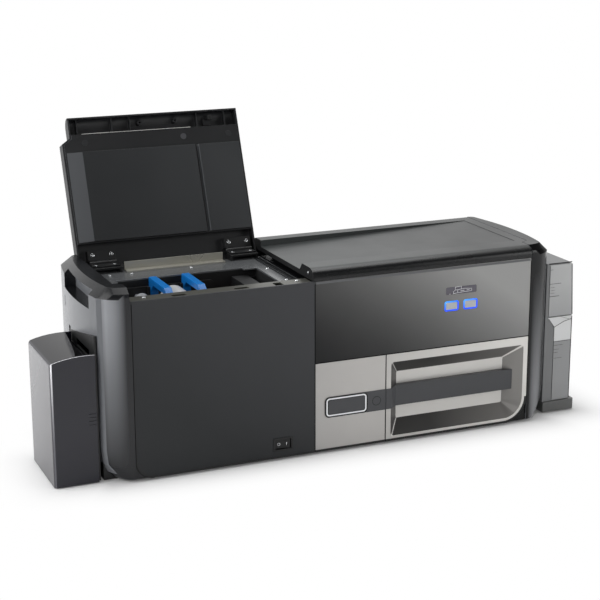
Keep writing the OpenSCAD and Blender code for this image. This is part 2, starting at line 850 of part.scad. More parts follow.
module drive_motors() {
    settled() color("#6f7275") {
        motor(heat_x, lam_motor_z);
        motor(platen_x, prn_motor_z);
    }
}

module pinion(x, z, m) {
    gear(x, z, pinion_n, m, motor_shaft_r);
    shaft_y(x, z, motor_shaft_r, gear_y - 1, motor_y + 10);
}

module laminator_pinion() {
    settled() color("#c7a452") pinion(heat_x, lam_motor_z, lam_module);
}

// Black guard over the heated roller, with a sloping arm
module heater_guard() {
    t = 3;
    x0 = guard_x;
    x1 = lam_bay[1] - bay_wall;
    top = bay_ledge_h + 36;
    settled() color("#202123") {
        along_y(cart_front, cart_back) polygon([
            [x0, bay_ledge_h + 4], [x0 + t, bay_ledge_h + 4], [x0 + t, top - t],
            [x0 + 24, top - t], [x0 + 24, top], [x0, top]
        ]);
        for (y = [cart_front, cart_back - t]) along_y(y, y + t)
            polygon([[x1, top - 23], [x1, top - t], [x0 + t, top - t], [x0 + t, top - 11]]);
        block([x0, bay_front + bay_wall, top - 15], [x0 + 10, cart_front, top - 7]);
        block([x0, cart_back, top - 15], [x0 + 10, bay_back - bay_wall, top - 7]);
    }
}

// ---- printer front ----

module printer_upper_panel() {
    high = panel_top - 19.5;
    settled() color("#2e3033") difference() {
        union() {
            block([half_seam, 0, upper_z[0]], [prn_x - half_seam, panel_t, upper_z[1]]);
            for (z = [upper_z[0] + 4, button_z - 21, high])
                block([8, panel_t, z], [prn_x - 10, panel_t + 8, z + 2]);
            for (x = [60, 130, display_x + 59])
                block([x, panel_t, upper_z[0] + 4], [x + 2, panel_t + 7, high + 2]);
        }
        along_y(-1, panel_t + 9) rounded(
            [display_x - display_w / 2, display_z - display_h / 2],
            [display_x + display_w / 2, display_z + display_h / 2], 2
        );
        for (x = button_xs) along_y(-1, panel_t + 9) rounded(
            [x - button_w / 2, button_z - button_h / 2], [x + button_w / 2, button_z + button_h / 2], 3
        );
    }
}

module display_window() {
    settled() color("#55505c") {
        along_y(0.2, panel_t) rounded(
            [display_x - display_w / 2 + 0.1, display_z - display_h / 2 + 0.1],
            [display_x + display_w / 2 - 0.1, display_z + display_h / 2 - 0.1], 1.9
        );
        block(
            [display_x - display_w / 2 - 3, panel_t, display_z - display_h / 2 - 3],
            [display_x + display_w / 2 + 3, panel_t + 4, display_z + display_h / 2 + 3]
        );
    }
}

module button_frame(x, grow, y0, y1, r) {
    along_y(y0, y1) rounded(
        [x - button_w / 2 - grow, button_z - button_h / 2 - grow],
        [x + button_w / 2 + grow, button_z + button_h / 2 + grow], r
    );
}

module button_rings() {
    settled() color("#2b62ff") for (x = button_xs) difference() {
        button_frame(x, 0, -0.4, panel_t, 3);
        button_frame(x, -ring_t, -1, panel_t + 1, 1.5);
    }
}

module push_button(x) {
    button_frame(x, -ring_t - 0.2, -0.6, panel_t + 0.1, 1.4);
    button_frame(x, 1, panel_t + 0.1, panel_t + 1.6, 2);
}

module left_button() {
    settled() color("#b9bbbd") push_button(button_xs[0]);
}

module right_button() {
    settled() color("#b9bbbd") push_button(button_xs[1]);
}

module plain_lower_panel() {
    settled() color("#a3a1a0") difference() {
        union() {
            block([half_seam, 0, lower_z[0]], [plain_w - half_seam, panel_t, lower_z[1]]);
            for (z = [lower_z[0] + 20, bar_z + 27])
                block([8, panel_t, z], [plain_w - 10, panel_t + 8, z + 2]);
        }
        shaft_y(lock_x, bar_z, lock_r + 0.1, -1, panel_t + 9);
    }
}

// Edge of the recess at its mouth (t = 0) or its floor (t = 1), grown by g. Its lower right
// corner follows the panel's at the mouth and is as tight as the others at the floor.
module recess_mouth(t, g, r) {
    a = [
        bezel_x[0] + bezel_margin[0] + bevel[0] * t - g,
        lower_z[0] + bezel_margin[2] + bevel[2] * t - g
    ];
    b = [
        bezel_x[1] - bezel_margin[1] - bevel[1] * t + g,
        lower_z[1] - bezel_margin[3] - bevel[3] * t + g
    ];
    low_r = max(r, (corner_r - bezel_margin[1]) * (1 - t) + g);
    polygon(concat(
        arc(a + [r, r], r, 180, 270, 6),
        arc([b[0] - low_r, a[1] + low_r], low_r, 270, 360, 12),
        arc(b - [r, r], r, 0, 90, 6),
        arc([a[0] + r, b[1] - r], r, 90, 180, 6)
    ));
}

module recess_form(g, y0, y1) {
    hull() {
        along_y(y0, y0 + 0.01) recess_mouth(0, g, 5 + g);
        along_y(y1 - 0.01, y1) recess_mouth(1, g, 3 + g);
    }
}

module recess_bezel() {
    c = [bezel_x[1] - corner_r, lower_z[0] + corner_r];
    settled() color("#a3a1a0") difference() {
        union() {
            along_y(0, panel_t) polygon(concat(
                [[bezel_x[1], lower_z[1]], [bezel_x[0], lower_z[1]], [bezel_x[0], lower_z[0]]],
                arc(c, corner_r, 270, 360, 12)
            ));
            recess_form(2, 0, recess_d + 2.5);
        }
        recess_form(0, -0.01, recess_d);
    }
}

module grip_bar() {
    x0 = bezel_x[0];
    mouth = x0 + bezel_margin[0];
    floor_l = mouth + bevel[0];
    mouth_r = bezel_x[1] - bezel_margin[1];
    floor_r = mouth_r - bevel[1];
    face = recess_d / 2;
    settled() color("#43464a") translate([0, 0, bar_z - bar_h / 2]) linear_extrude(bar_h) polygon([
        [x0, -front_proud], [x0 + 9, -front_proud], [x0 + 21, face],
        [mouth_r - bevel[1] * face / recess_d - 0.5, face], [floor_r, recess_d], [floor_l + 0.5, recess_d],
        [mouth + 0.5, 0], [x0, 0]
    ]);
}

module badge_plate() {
    settled() color("#3f4245") difference() {
        along_y(-front_proud, 0) {
            rounded([plain_w - half_seam - badge_l, bar_z - bar_h / 2], [plain_w - 20, bar_z + bar_h / 2], 7);
            translate([plain_w - 50, bar_z - bar_h / 2]) square([50 - half_seam, bar_h]);
        }
        shaft_y(lock_x, bar_z, lock_r + 0.1, -front_proud - 1, 1);
    }
}

module lock_blank() {
    settled() color("#3a3d40") {
        shaft_y(lock_x, bar_z, lock_r, -front_proud, panel_t);
        shaft_y(lock_x, bar_z, lock_r + 3, panel_t, panel_t + 3);
    }
}

// ---- power switch ----

module rocker_bezel() {
    a = [switch_x - switch_w / 2, switch_z - switch_h / 2];
    b = [switch_x + switch_w / 2, switch_z + switch_h / 2];
    settled() color("#0e0f10") difference() {
        union() {
            along_y(-0.8, 0) rounded(a, b, 2);
            block([a[0] + 1.6, 0, a[1] + 1.6], [b[0] - 1.6, 15, b[1] - 1.6]);
        }
        block([a[0] + 3, -1, a[1] + 3], [b[0] - 3, 13.5, b[1] - 3]);
        translate([switch_x, 5, a[1] + 0.5]) cylinder(r = 1.5 + run_fit, h = switch_h - 1);
    }
}

module power_rocker() {
    w = switch_w / 2 - 4;
    settled() color("#151617") translate([switch_x, 5, switch_z]) rotate([0, 0, -7]) {
        translate([0, 0, -switch_h / 2 + 3.5]) linear_extrude(switch_h - 7)
            polygon([[-w, -4.6], [0, -3.4], [w, -4.6], [w, -0.5], [5, 4], [-5, 4], [-w, -0.5]]);
        translate([0, 0, -switch_h / 2 + 1.9]) cylinder(r = 1.5, h = switch_h - 3.8);
    }
}

// ---- printer inside ----

module printer_bay() {
    settled() color("#1b1c1e") bay(prn_bay, rib_cart, [
        [platen_x, platen_z, shaft_r + run_fit],
        [feed_x, platen_z, shaft_r + run_fit]
    ]);
}

module printer_deck() {
    back_x = prn_x + cap_ledge - cover_gap - 1.2;
    front_x = prn_x + ledge_front - cover_gap - 0.7;
    settled() color("#3a3b3c") translate([0, 0, deck_bottom]) linear_extrude(deck_t) difference() {
        polygon([
            [0, panel_t + 0.5], [front_x, panel_t + 0.5], [front_x, notch_y + 1],
            [back_x, notch_y + notch_rise + 1], [back_x, axis_y - 11], [0, axis_y - 11]
        ]);
        translate([prn_bay[0] + bay_wall, bay_front + bay_wall])
            square([prn_bay[1] - prn_bay[0] - 2 * bay_wall, bay_back - bay_front - 2 * bay_wall]);
        translate([20, 40]) rounded([0, 0], [60, 90], 6);
    }
}

module platen_roller() {
    settled() color("#303234") {
        roller(platen_x, platen_z, feed_roller_d / 2, roll_half, gear_y);
        gear(platen_x, platen_z, gear_n, prn_module, 0.01, 180 / gear_n);
    }
}

module printer_pinion() {
    settled() color("#c7a452") pinion(platen_x, prn_motor_z, prn_module);
}

module feed_roller() {
    settled() color("#303234") roller(feed_x, platen_z, feed_roller_d / 2, roll_half, bay_back);
}

module ribbon_cartridge() {
    settled() color("#191a1c") cartridge(rib_cart, [
        for (x = ribbon_xs) [x, ribbon_z, shaft_r + run_fit]
    ]);
}

module ribbon_supply_spool() {
    settled() color("#6d4a8c") spool(ribbon_xs[1], ribbon_z, supply_r);
}

module ribbon_take_up_spool() {
    settled() color("#3a3240") spool(ribbon_xs[0], ribbon_z, take_up_r);
}

// ---- printer cover ----

// The shallow slope sunk in the cover's top: deep at the seam, flush at the far end
module cover_dish(down) {
    far = prn_x - 4;
    deep = top_z - 10 - down;
    flush = top_z - 0.5 - down;
    back = axis_y - 18 + down / 2;
    hull() {
        translate([cover_left - 2, 49, deep]) cube([0.01, back - 49, 20]);
        translate([cover_left - 2, 41, top_z - 0.6 - down]) cube([0.01, 10, 10]);
        translate([far, 43, flush]) cube([0.01, back - 43, 10]);
    }
}

module cover_plan(i) {
    front_x = prn_x + ledge_front - cover_gap - i;
    back_x = prn_x + cap_ledge - cover_gap - i;
    polygon([
        [cover_left + i, -5], [front_x, -5], [front_x, notch_y + i / 3],
        [back_x, notch_y + notch_rise + i / 3], [back_x, body_d], [cover_left + i, body_d]
    ]);
}

module top_cover() {
    skin = top_z - lid_t;
    arm_z = axis_z + leaf_gap / 2;
    settled() color("#3a3c3e") difference() {
        union() {
            difference() {
                intersection() {
                    along_x(cover_left - 1, right_side) polygon(cover_profile(0, rim_h));
                    translate([0, 0, rim_h - 1]) linear_extrude(cover_h + 2) cover_plan(0);
                }
                difference() {
                    intersection() {
                        along_x(cover_left - 1, right_side) polygon(cover_profile(lid_t, rim_h - 1));
                        translate([0, 0, rim_h - 2]) linear_extrude(cover_h + 4) cover_plan(lid_t);
                    }
                    cover_dish(lid_t);
                }
                for (x = cover_hinges)
                    block([x - 3, axis_y + 1, rim_h - 1], [x + hinge_w + 3, body_d, axis_z + 0.1]);
            }
            for (x = cover_hinges) {
                s = [x + inner_knuckle[0][0], x + inner_knuckle[0][1]];
                block([s[0], axis_y - leaf_l, arm_z], [s[1], axis_y - 4, skin + 0.1]);
                block([s[0], axis_y - 5, arm_z], [s[1], axis_y, arm_z + leaf_t]);
                shaft_x(axis_y, axis_z, knuckle_r, s[0], s[1]);
            }
            for (x = [60, 120, platen_x - 26, platen_x + 80]) cover_rib(x, 1.8, axis_y - 45);
            for (y = head_arm_ys) block([platen_x - 8, y, head_top], [platen_x + 8, y + 8, skin]);
        }
        cover_dish(0);
        for (x = cover_hinges) shaft_x(axis_y, axis_z, pin_r + run_fit, x - 1, x + hinge_w + 1);
    }
}

// Height of the printhead's top plate, which is held under the cover
head_top = rim_h + 5;
head_arm_ys = [path_y - 20, path_y + 12];

// A plate over the platen, by its half width and half length
module head_piece(w, l, z0, z1) {
    block([platen_x - w, path_y - l, z0], [platen_x + w, path_y + l, z1]);
}

module printhead() {
    settled() color("#85888b") {
        head_piece(5, 26, path_h + heat_gap, path_h + 14);
        head_piece(9, 24, path_h + 14, path_h + 22);
        for (y = head_arm_ys) block([platen_x - 3, y, path_h + 22], [platen_x + 3, y + 8, head_top]);
        head_piece(12, 24, head_top - 3, head_top);
    }
}

// ---- output hopper ----

hook_z = 120;
hook_h = 6;
hook_ys = [40, 116];

// Open windows in the hopper's inner wall that drop over the hooks
module hook_windows(x0, x1) {
    for (y = hook_ys)
        block([x0, y - 1, hook_z - output_lift - 1], [x1, y + 11, hook_z + hook_h + lift_gap]);
}

// Front view of the output hopper, drawn in by i, with its top crowned from side to side
module hopper_side(i) {
    x0 = hopper_x - output_w + i;
    x1 = hopper_x - i;
    low = 1.5 + i;
    high = output_h - i;
    polygon(concat(
        [[x0, low], [x1, low]],
        bend([x1, hopper_top - i], [x0 + 28, hopper_top + 2 - i], [x0 + 3, high]),
        [[x0, high - 3]]
    ));
}

module output_hopper() {
    x0 = hopper_x - output_w;
    x1 = hopper_x;
    y1 = hopper_y + output_l;
    rise = hopper_top;
    t = hopper_t;
    settled() color("#3e3f44") difference() {
        intersection() {
            along_y(hopper_y, y1) hopper_side(0);
            linear_extrude(rise + 10) rounded([x0, hopper_y], [x1 + 8, y1], 5);
        }
        along_y(hopper_y + t, y1 - t) hopper_side(t);
        translate([0, 0, output_h - 8]) linear_extrude(30) polygon(concat(
            [[x1 + 1, hopper_y + t], [x1 + 1, y1 - t], [x1 - 9, y1 - t]],
            bend([x1 - 9, y1 - t], [x1 - 16, hopper_y + 50], [x1 - 26, hopper_y + t], 8)
        ));
        hook_windows(x1 - t - 1, x1 + 1);
        for (i = [0:3]) block([x1 - 11, hopper_y - 1, 85 + i * 5], [x1 + 1, hopper_y + 0.7, 86.6 + i * 5]);
    }
}

// Flange on the left end cap, with the cards' way out and the hooks the hopper hangs on
module hopper_mount() {
    x1 = mount_left;
    x0 = x1 - mount_t;
    front = mount_y[0] + lift_gap;
    back = mount_y[1] - lift_gap;
    settled() color("#2b2c2f") {
        difference() {
            along_x(x0, x1) polygon([
                [front, 2], [back, 2], [back, mount_h - 2], [mount_y[1] - 4, mount_h + fin_h],
                [mount_y[1] - fin_l, mount_h + mount_rise * fin_l / (mount_y[1] - mount_y[0])],
                [front, mount_h + mount_rise]
            ]);
            card_slot(x0 - 1, x1 + 1);
        }
        for (y = hook_ys) {
            block([x0 - slip - 1.2 - hopper_t, y, hook_z], [x0, y + 10, hook_z + hook_h]);
            block(
                [x0 - slip - 2.7 - hopper_t, y, hook_z],
                [x0 - slip - 1.2 - hopper_t, y + 10, hook_z + hook_h + 3]
            );
        }
    }
}

// ---- input hoppers ----

shelf_t = 2.5;
post_w = [3, 14];
post_bend = [shelf_h - 14, shelf_h];
lift_slot = [381, 386];
door_axis = [input_x + input_w - 2.5, input_y[1] + 2.5];
door_knuckle_r = 2.4;
door_pin_r = 1;
upper_door_z = [shelf_h + 2, input_h - 2.8];
lower_door_z = [tray_h + 0.5, shelf_h + 1.2];

// Flanks of the two doors, which lean out towards the middle of the hopper
function door_flank(z) =
    input_x + input_w - 2.5 + (z > shelf_h ? 4 * (input_h - z) / (input_h - shelf_h) : 4);

module input_hopper_frame() {
    x0 = mount_right;
    x1 = input_x + input_w - 6;
    x2 = x0 + mount_t - 0.1;
    t = hopper_t;
    settled() color("#7d7f80") difference() {
        union() {
            // mounting plate on the end cap
            block([x0, mount_y[0] + lift_gap, tray_h], [x0 + mount_t, mount_y[1] - lift_gap, input_h]);
            // front post, with its step
            along_y(input_y[0], input_y[0] + t) polygon([
                [x2, tray_h], [input_x + post_w[1], tray_h], [input_x + post_w[1], post_bend[0]],
                [input_x + post_w[0], post_bend[1]], [input_x + post_w[0], input_h], [x2, input_h]
            ]);
            // roof, shelf and floor outside the cap
            block([x2, input_y[0], input_h - t], [x1, input_y[1], input_h]);
            block([x2, input_y[0] + 3, shelf_h], [x1, input_y[1], shelf_h + shelf_t - 1]);
            block([x2, input_y[0] + 3, tray_h], [x1 - 2, input_y[1], tray_h + t]);
            // box that reaches into the cap, where the long ends of the cards lie
            difference() {
                block([box_x, box_y[0] - t, tray_h + 5], [x1, box_y[1], box_top]);
                block([box_x - 1, box_y[0], tray_h + 5 + t], [x1 + 1, box_y[1] - t, shelf_h]);
                block([box_x - 1, box_y[0], shelf_h + shelf_t], [x1 + 1, box_y[1] - t, box_top - t]);
            }
            // rear post between the base tray and the roof, which the ears stand on
            block([x1 - 3, box_y[1] - t, tray_h], [x1, box_y[1], input_h]);
            // ears for the door pins
            for (z = [upper_door_z[1] - 7, upper_door_z[0] + 3, lower_door_z[1] - 7, lower_door_z[0] + 3])
                door_ear(x1, z);
        }
        // windows through the mounting plate
        block([x0 - 1, box_y[0], tray_h + 5 + t], [x0 + mount_t + 1, box_y[1] - t, shelf_h]);
        block([x0 - 1, box_y[0], shelf_h + shelf_t], [x0 + mount_t + 1, box_y[1] - t, box_top - t]);
        // front corner of the box outside the cap, where the doors' fronts are
        block([x0 + mount_t, box_y[0] - t - 1, tray_h + 5 + t], [x1 + 1, box_y[0] + 0.1, shelf_h]);
        block([x0 + mount_t, box_y[0] - t - 1, shelf_h + shelf_t], [x1 + 1, box_y[0] + 0.1, box_top + 1]);
        // slots that guide the two card lifts
        block([lift_slot[0], box_y[1] - t - 1, tray_h + 5 + t], [lift_slot[1], box_y[1] + 1, shelf_h - 6]);
        block([lift_slot[0], box_y[1] - t - 1, shelf_h + shelf_t], [lift_slot[1], box_y[1] + 1, box_top - 6]);
        for (z = [upper_door_z[1] - 7, upper_door_z[0] + 3, lower_door_z[1] - 7, lower_door_z[0] + 3])
            translate([door_axis[0], door_axis[1], z - 1]) cylinder(r = door_pin_r + run_fit, h = 8);
    }
}

module door_ear(x1, z) {
    translate([door_axis[0], door_axis[1], z]) cylinder(r = door_knuckle_r, h = 4);
    block([x1 - 3, box_y[1] - 1, z], [x1, door_axis[1] + 1, z + 4]);
    block([x1 - 3, door_axis[1] - 1.7, z], [door_axis[0] - 0.5, door_axis[1] + 1, z + 4]);
}

// An L-shaped door: front pane and outer flank in one, swinging on two moulded pins
module hopper_door(zs, foot) {
    left = input_x + post_w[0] + 0.4;
    ends = [zs[1] - 7, zs[0] + 3];
    difference() {
        along_y(input_y[0], input_y[1]) polygon([
            [left, zs[0]], [door_flank(zs[0]), zs[0]], [door_flank(zs[1]), zs[1]], [left, zs[1]]
        ]);
        along_y(input_y[0] + door_t, input_y[1] + 1) polygon([
            [left - 5, zs[0] - 1], [door_flank(zs[0]) - door_t, zs[0] - 1],
            [door_flank(zs[1]) - door_t, zs[1] + 1], [left - 5, zs[1] + 1]
        ]);
        if (foot) along_y(input_y[0] - 1, input_y[1] + 1) polygon([
            [left - 5, zs[0] - 1], [input_x + post_w[1] + 0.4, zs[0] - 1],
            [input_x + post_w[1] + 0.4, post_bend[0]], [left, post_bend[1]], [left - 5, post_bend[1]]
        ]);
    }
    // pins on arms below the upper ear and above the lower ear
    for (z = [zs[1] - 12, zs[0] + 7.6]) {
        translate([door_axis[0], door_axis[1], z]) cylinder(r = door_knuckle_r, h = 4.4);
        block([door_axis[0] - 0.8, input_y[1] - 1, z], [door_flank(z) - 0.2, door_axis[1] + 1, z + 4.4]);
    }
    translate([door_axis[0], door_axis[1], zs[1] - 8]) cylinder(r = door_pin_r, h = 5);
    translate([door_axis[0], door_axis[1], zs[0] + 3]) cylinder(r = door_pin_r, h = 5);
}

module upper_hopper_door() {
    settled() color("#9a9c9e") hopper_door(upper_door_z, false);
}

module lower_hopper_door() {
    settled() color("#7b7d80") hopper_door(lower_door_z, true);
}

module hopper_base_tray() {
    x0 = mount_right;
    x1 = input_x + input_w + 9;
    settled() color("#4a4c4e") difference() {
        translate([0, 0, 2]) linear_extrude(tray_h - 2) rounded([x0 - 6, base_y[0]], [x1, base_y[1]], 5);
        block([x0 - 8, base_y[0] - 1, 0], [x0, base_y[1] + 1, tray_h + 1]);
        block([x1 - 11, base_y[0] + 8, 6], [x1 - 3, base_y[1] - 6, tray_h + 1]);
        block([x0 + 3, base_y[0] + 5, 0], [x1 - 14, base_y[1] - 4, tray_h - 3]);
    }
}

// Spring platform that lifts the cards; its tongue runs in the frame's slot
module card_lift(z) {
    block([box_x + 3, box_y[0] + 1.5, z], [input_x + input_w - 8, box_y[1] - hopper_t - 1.5, z + 3]);
    block([lift_slot[0] + slip, box_y[1] - hopper_t - 2, z], [lift_slot[1] - slip, box_y[1] + 4, z + 3]);
}

module upper_card_lift() {
    settled() color("#c4c6c8") card_lift(shelf_h + shelf_t + lift_gap);
}

module lower_card_lift() {
    settled() color("#c4c6c8") card_lift(tray_h + 5 + hopper_t + lift_gap);
}

// ---- electronics ----

board_y = body_d - 12;
board_t = 1.6;
board_x = [120, 300];
board_z = [40, 150];

// Sockets on the back of the board: x, z, width, height
sockets = [[board_x[0] + 30, board_z[0] + 20, 12, 11], [board_x[0] + 60, board_z[0] + 18, 16, 14]];

// Chips on its front: distance from the lower left corner along x and z, and width
chips = [[20, 60, 30], [70, 70, 24], [120, 30, 36]];

module control_board() {
    settled() {
        color("#1d6b3a")
            block([board_x[0], board_y, board_z[0]], [board_x[1], board_y + board_t, board_z[1]]);
        color("#b4b6b8") for (s = sockets) difference() {
            block([s[0], board_y + board_t, s[1]], [s[0] + s[2], body_d + 0.5, s[1] + s[3]]);
            block([s[0] + 2, body_d - 8, s[1] + 2], [s[0] + s[2] - 2, body_d + 1, s[1] + s[3] - 2]);
        }
        color("#c9a227") for (x = [board_x[0] + 8, board_x[1] - 8], z = [board_z[0] + 8, board_z[1] - 8])
            shaft_y(x, z, 3, board_y + board_t, body_d - sheet_t);
        color("#202020") for (c = chips) translate([board_x[0] + c[0], board_y - 4, board_z[0] + c[1]])
            cube([c[2], 4, c[2] * 0.7]);
    }
}

inlet = [-150, 40];

module inlet_outline(grow) {
    translate([inlet[0] - 13.5 - grow, inlet[1] - 10 - grow]) square([27 + 2 * grow, 20 + 2 * grow]);
}

module power_inlet() {
    settled() color("#101112") {
        difference() {
            union() {
                along_y(body_d - 22, body_d + 0.1) inlet_outline(0);
                along_y(body_d, body_d + 2)
                    rounded([inlet[0] - 22, inlet[1] - 13], [inlet[0] + 22, inlet[1] + 13], 4);
            }
            along_y(body_d - 18, body_d + 3) polygon([for (p = [
                [-12, -8.5], [12, -8.5], [12, 4], [7.5, 8.5], [-7.5, 8.5], [-12, 4]
            ]) p + inlet]);
        }
        for (p = [[-7, -1], [0, 3], [7, -1]])
            translate([inlet[0] + p[0] - 1, body_d - 19, inlet[1] + p[1] - 2.5]) cube([2, 16, 4]);
    }
}

base_pan();
rubber_feet();
rear_panel();
laminator_front_panel();
left_end_cap();
right_end_cap();
laminator_bay();
laminator_deck();
deck_rails();
hinge_blocks();
body_hinge_leaves();
lid_hinge_leaves();
hinge_pins();
laminator_lid();
lid_liner();
lid_latch_hook();
laminate_cartridge();
blue_handles();
laminate_roll();
waste_spool();
heated_roller();
pressure_roller();
heated_roller_gear();
pressure_roller_gear();
drive_motors();
laminator_pinion();
heater_guard();
dividing_wall();
printer_upper_panel();
plain_lower_panel();
recess_bezel();
grip_bar();
badge_plate();
lock_blank();
display_window();
button_rings();
left_button();
right_button();
rocker_bezel();
power_rocker();
printer_bay();
printer_deck();
top_cover();
printhead();
platen_roller();
printer_pinion();
feed_roller();
ribbon_cartridge();
ribbon_supply_spool();
ribbon_take_up_spool();
output_hopper();
hopper_mount();
input_hopper_frame();
hopper_base_tray();
upper_hopper_door();
lower_hopper_door();
upper_card_lift();
lower_card_lift();
control_board();
power_inlet();
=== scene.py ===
"""Dresses the card printer: rounded mouldings, small fittings, finishes, light and camera.

Sizes are written in millimetres in the machine's working layout, where X = 0 is the seam between
the laminator and the printer, Y = 0 is the plane of the front panels and Z = 0 is the floor.
Layout.at() takes them to the frame's own metres.
"""

import json
import logging
from contextlib import contextmanager
from dataclasses import dataclass
from enum import Enum
from functools import cache
from math import atan2, cos, hypot, pi, radians, sin
from typing import Any, Callable, Iterable, Iterator, Sequence

import bpy
from mathutils import Matrix, Vector

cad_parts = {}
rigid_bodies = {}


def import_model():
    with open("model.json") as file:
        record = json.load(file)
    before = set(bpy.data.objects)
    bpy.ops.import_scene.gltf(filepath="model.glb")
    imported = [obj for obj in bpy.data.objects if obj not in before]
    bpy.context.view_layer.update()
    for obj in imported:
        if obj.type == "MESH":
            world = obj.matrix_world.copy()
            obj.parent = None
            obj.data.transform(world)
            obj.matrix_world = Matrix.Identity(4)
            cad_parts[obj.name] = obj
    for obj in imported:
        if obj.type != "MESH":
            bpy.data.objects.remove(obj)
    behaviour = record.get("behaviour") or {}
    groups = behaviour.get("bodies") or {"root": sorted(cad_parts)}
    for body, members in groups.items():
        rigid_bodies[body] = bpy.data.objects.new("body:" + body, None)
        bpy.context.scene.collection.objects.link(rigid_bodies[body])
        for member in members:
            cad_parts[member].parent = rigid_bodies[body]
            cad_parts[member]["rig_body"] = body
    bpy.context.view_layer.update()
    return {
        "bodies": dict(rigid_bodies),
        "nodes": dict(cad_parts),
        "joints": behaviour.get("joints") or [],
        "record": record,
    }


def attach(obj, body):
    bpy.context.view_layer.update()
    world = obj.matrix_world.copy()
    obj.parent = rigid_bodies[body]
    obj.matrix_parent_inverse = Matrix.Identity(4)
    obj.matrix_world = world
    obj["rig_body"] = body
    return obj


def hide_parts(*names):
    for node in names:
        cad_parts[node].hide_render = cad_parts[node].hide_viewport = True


LOG = logging.getLogger("card_printer")
MM = 0.001
Material = bpy.types.Material
Piece = bpy.types.Object
Flat = tuple[float, float]
Point = tuple[float, float, float]
FaceTest = Callable[[Vector, Vector], bool]
EdgeTest = Callable[[Vector], bool]
BENT = 0.4  # the least angle, in radians, between two faces whose edge is rounded by itself
WELD = 2e-6  # the distance, in metres, within which two vertices become one
LEVEL = radians(0.6)  # the angle within which neighbouring faces become one


def shade(code: str, factor: float = 1.0, lift: float = 0.0) -> Point:
    """Turns a six-digit screen colour into the linear values that a shader takes.

    Args:
        code: Six hexadecimal digits, red first.
        factor: What each linear value is multiplied by.
        lift: What is added to each after that.

    Returns:
        Red, green and blue from 0 to 1.
    """
    parts = [int(code[i : i + 2], 16) / 255 for i in (0, 2, 4)]
    linear = [p / 12.92 if p < 0.04045 else ((p + 0.055) / 1.055) ** 2.4 for p in parts]
    return tuple(min(1.0, p * factor + lift) for p in linear)


@dataclass(frozen=True)
class Layout:
    """Where the working layout lies in the frame, and how the open lid stands in it."""

    middle_x: float = 36.3
    middle_y: float = 151.022
    hinge_y: float = 215.0
    hinge_z: float = 258.25
    lid_angle: float = 111.5

    def at(self, x: float, y: float, z: float) -> Vector:
        """Returns a working point, in millimetres, as a point of the frame in metres."""
        return Vector((x - self.middle_x, y - self.middle_y, z)) * MM

    def working(self, spot: Vector) -> Vector:
        """Returns a point of the frame, in metres, as a working point in millimetres."""
        return spot / MM + Vector((self.middle_x, self.middle_y, 0.0))

    def opened(self) -> Matrix:
        """Works out how the lid opens.

        Returns:
            The turn that takes the closed lid to where it stands open.
        """
        hinge = self.at(0, self.hinge_y, self.hinge_z)
        turn = Matrix.Rotation(radians(-self.lid_angle), 4, "X")
        return Matrix.Translation(hinge) @ turn @ Matrix.Translation(-hinge)


LAYOUT = Layout()


class Facing(Enum):
    """The way that a fastener's head looks, as the turn that takes +Z there."""

    UP = Matrix.Identity(4)
    DOWN = Matrix.Rotation(pi, 4, "X")
    BACK = Matrix.Rotation(-pi / 2, 4, "X")
    LEFT = Matrix.Rotation(-pi / 2, 4, "Y")


# ---- shader maths


class Signal:
    """One shader socket that ordinary arithmetic can be done on."""

    def __init__(self, web: "NodeWeb", socket: bpy.types.NodeSocket | None) -> None:
        """Keeps the socket and the web that new nodes go into."""
        self.web, self.socket = web, socket

    def __add__(self, other: Any) -> "Signal":
        """Adds a number or a signal."""
        return self.web.math("ADD", self, other)

    __radd__ = __add__

    def __sub__(self, other: Any) -> "Signal":
        """Subtracts a number or a signal."""
        return self.web.math("SUBTRACT", self, other)

    def __rsub__(self, other: Any) -> "Signal":
        """Subtracts the signal from a number."""
        return self.web.math("SUBTRACT", other, self)

    def __mul__(self, other: Any) -> "Signal":
        """Multiplies by a number or a signal."""
        return self.web.math("MULTIPLY", self, other)

    __rmul__ = __mul__

    def bounded(self) -> "Signal":
        """Holds the signal between 0 and 1."""
        return self.web.add("Clamp", {0: self})


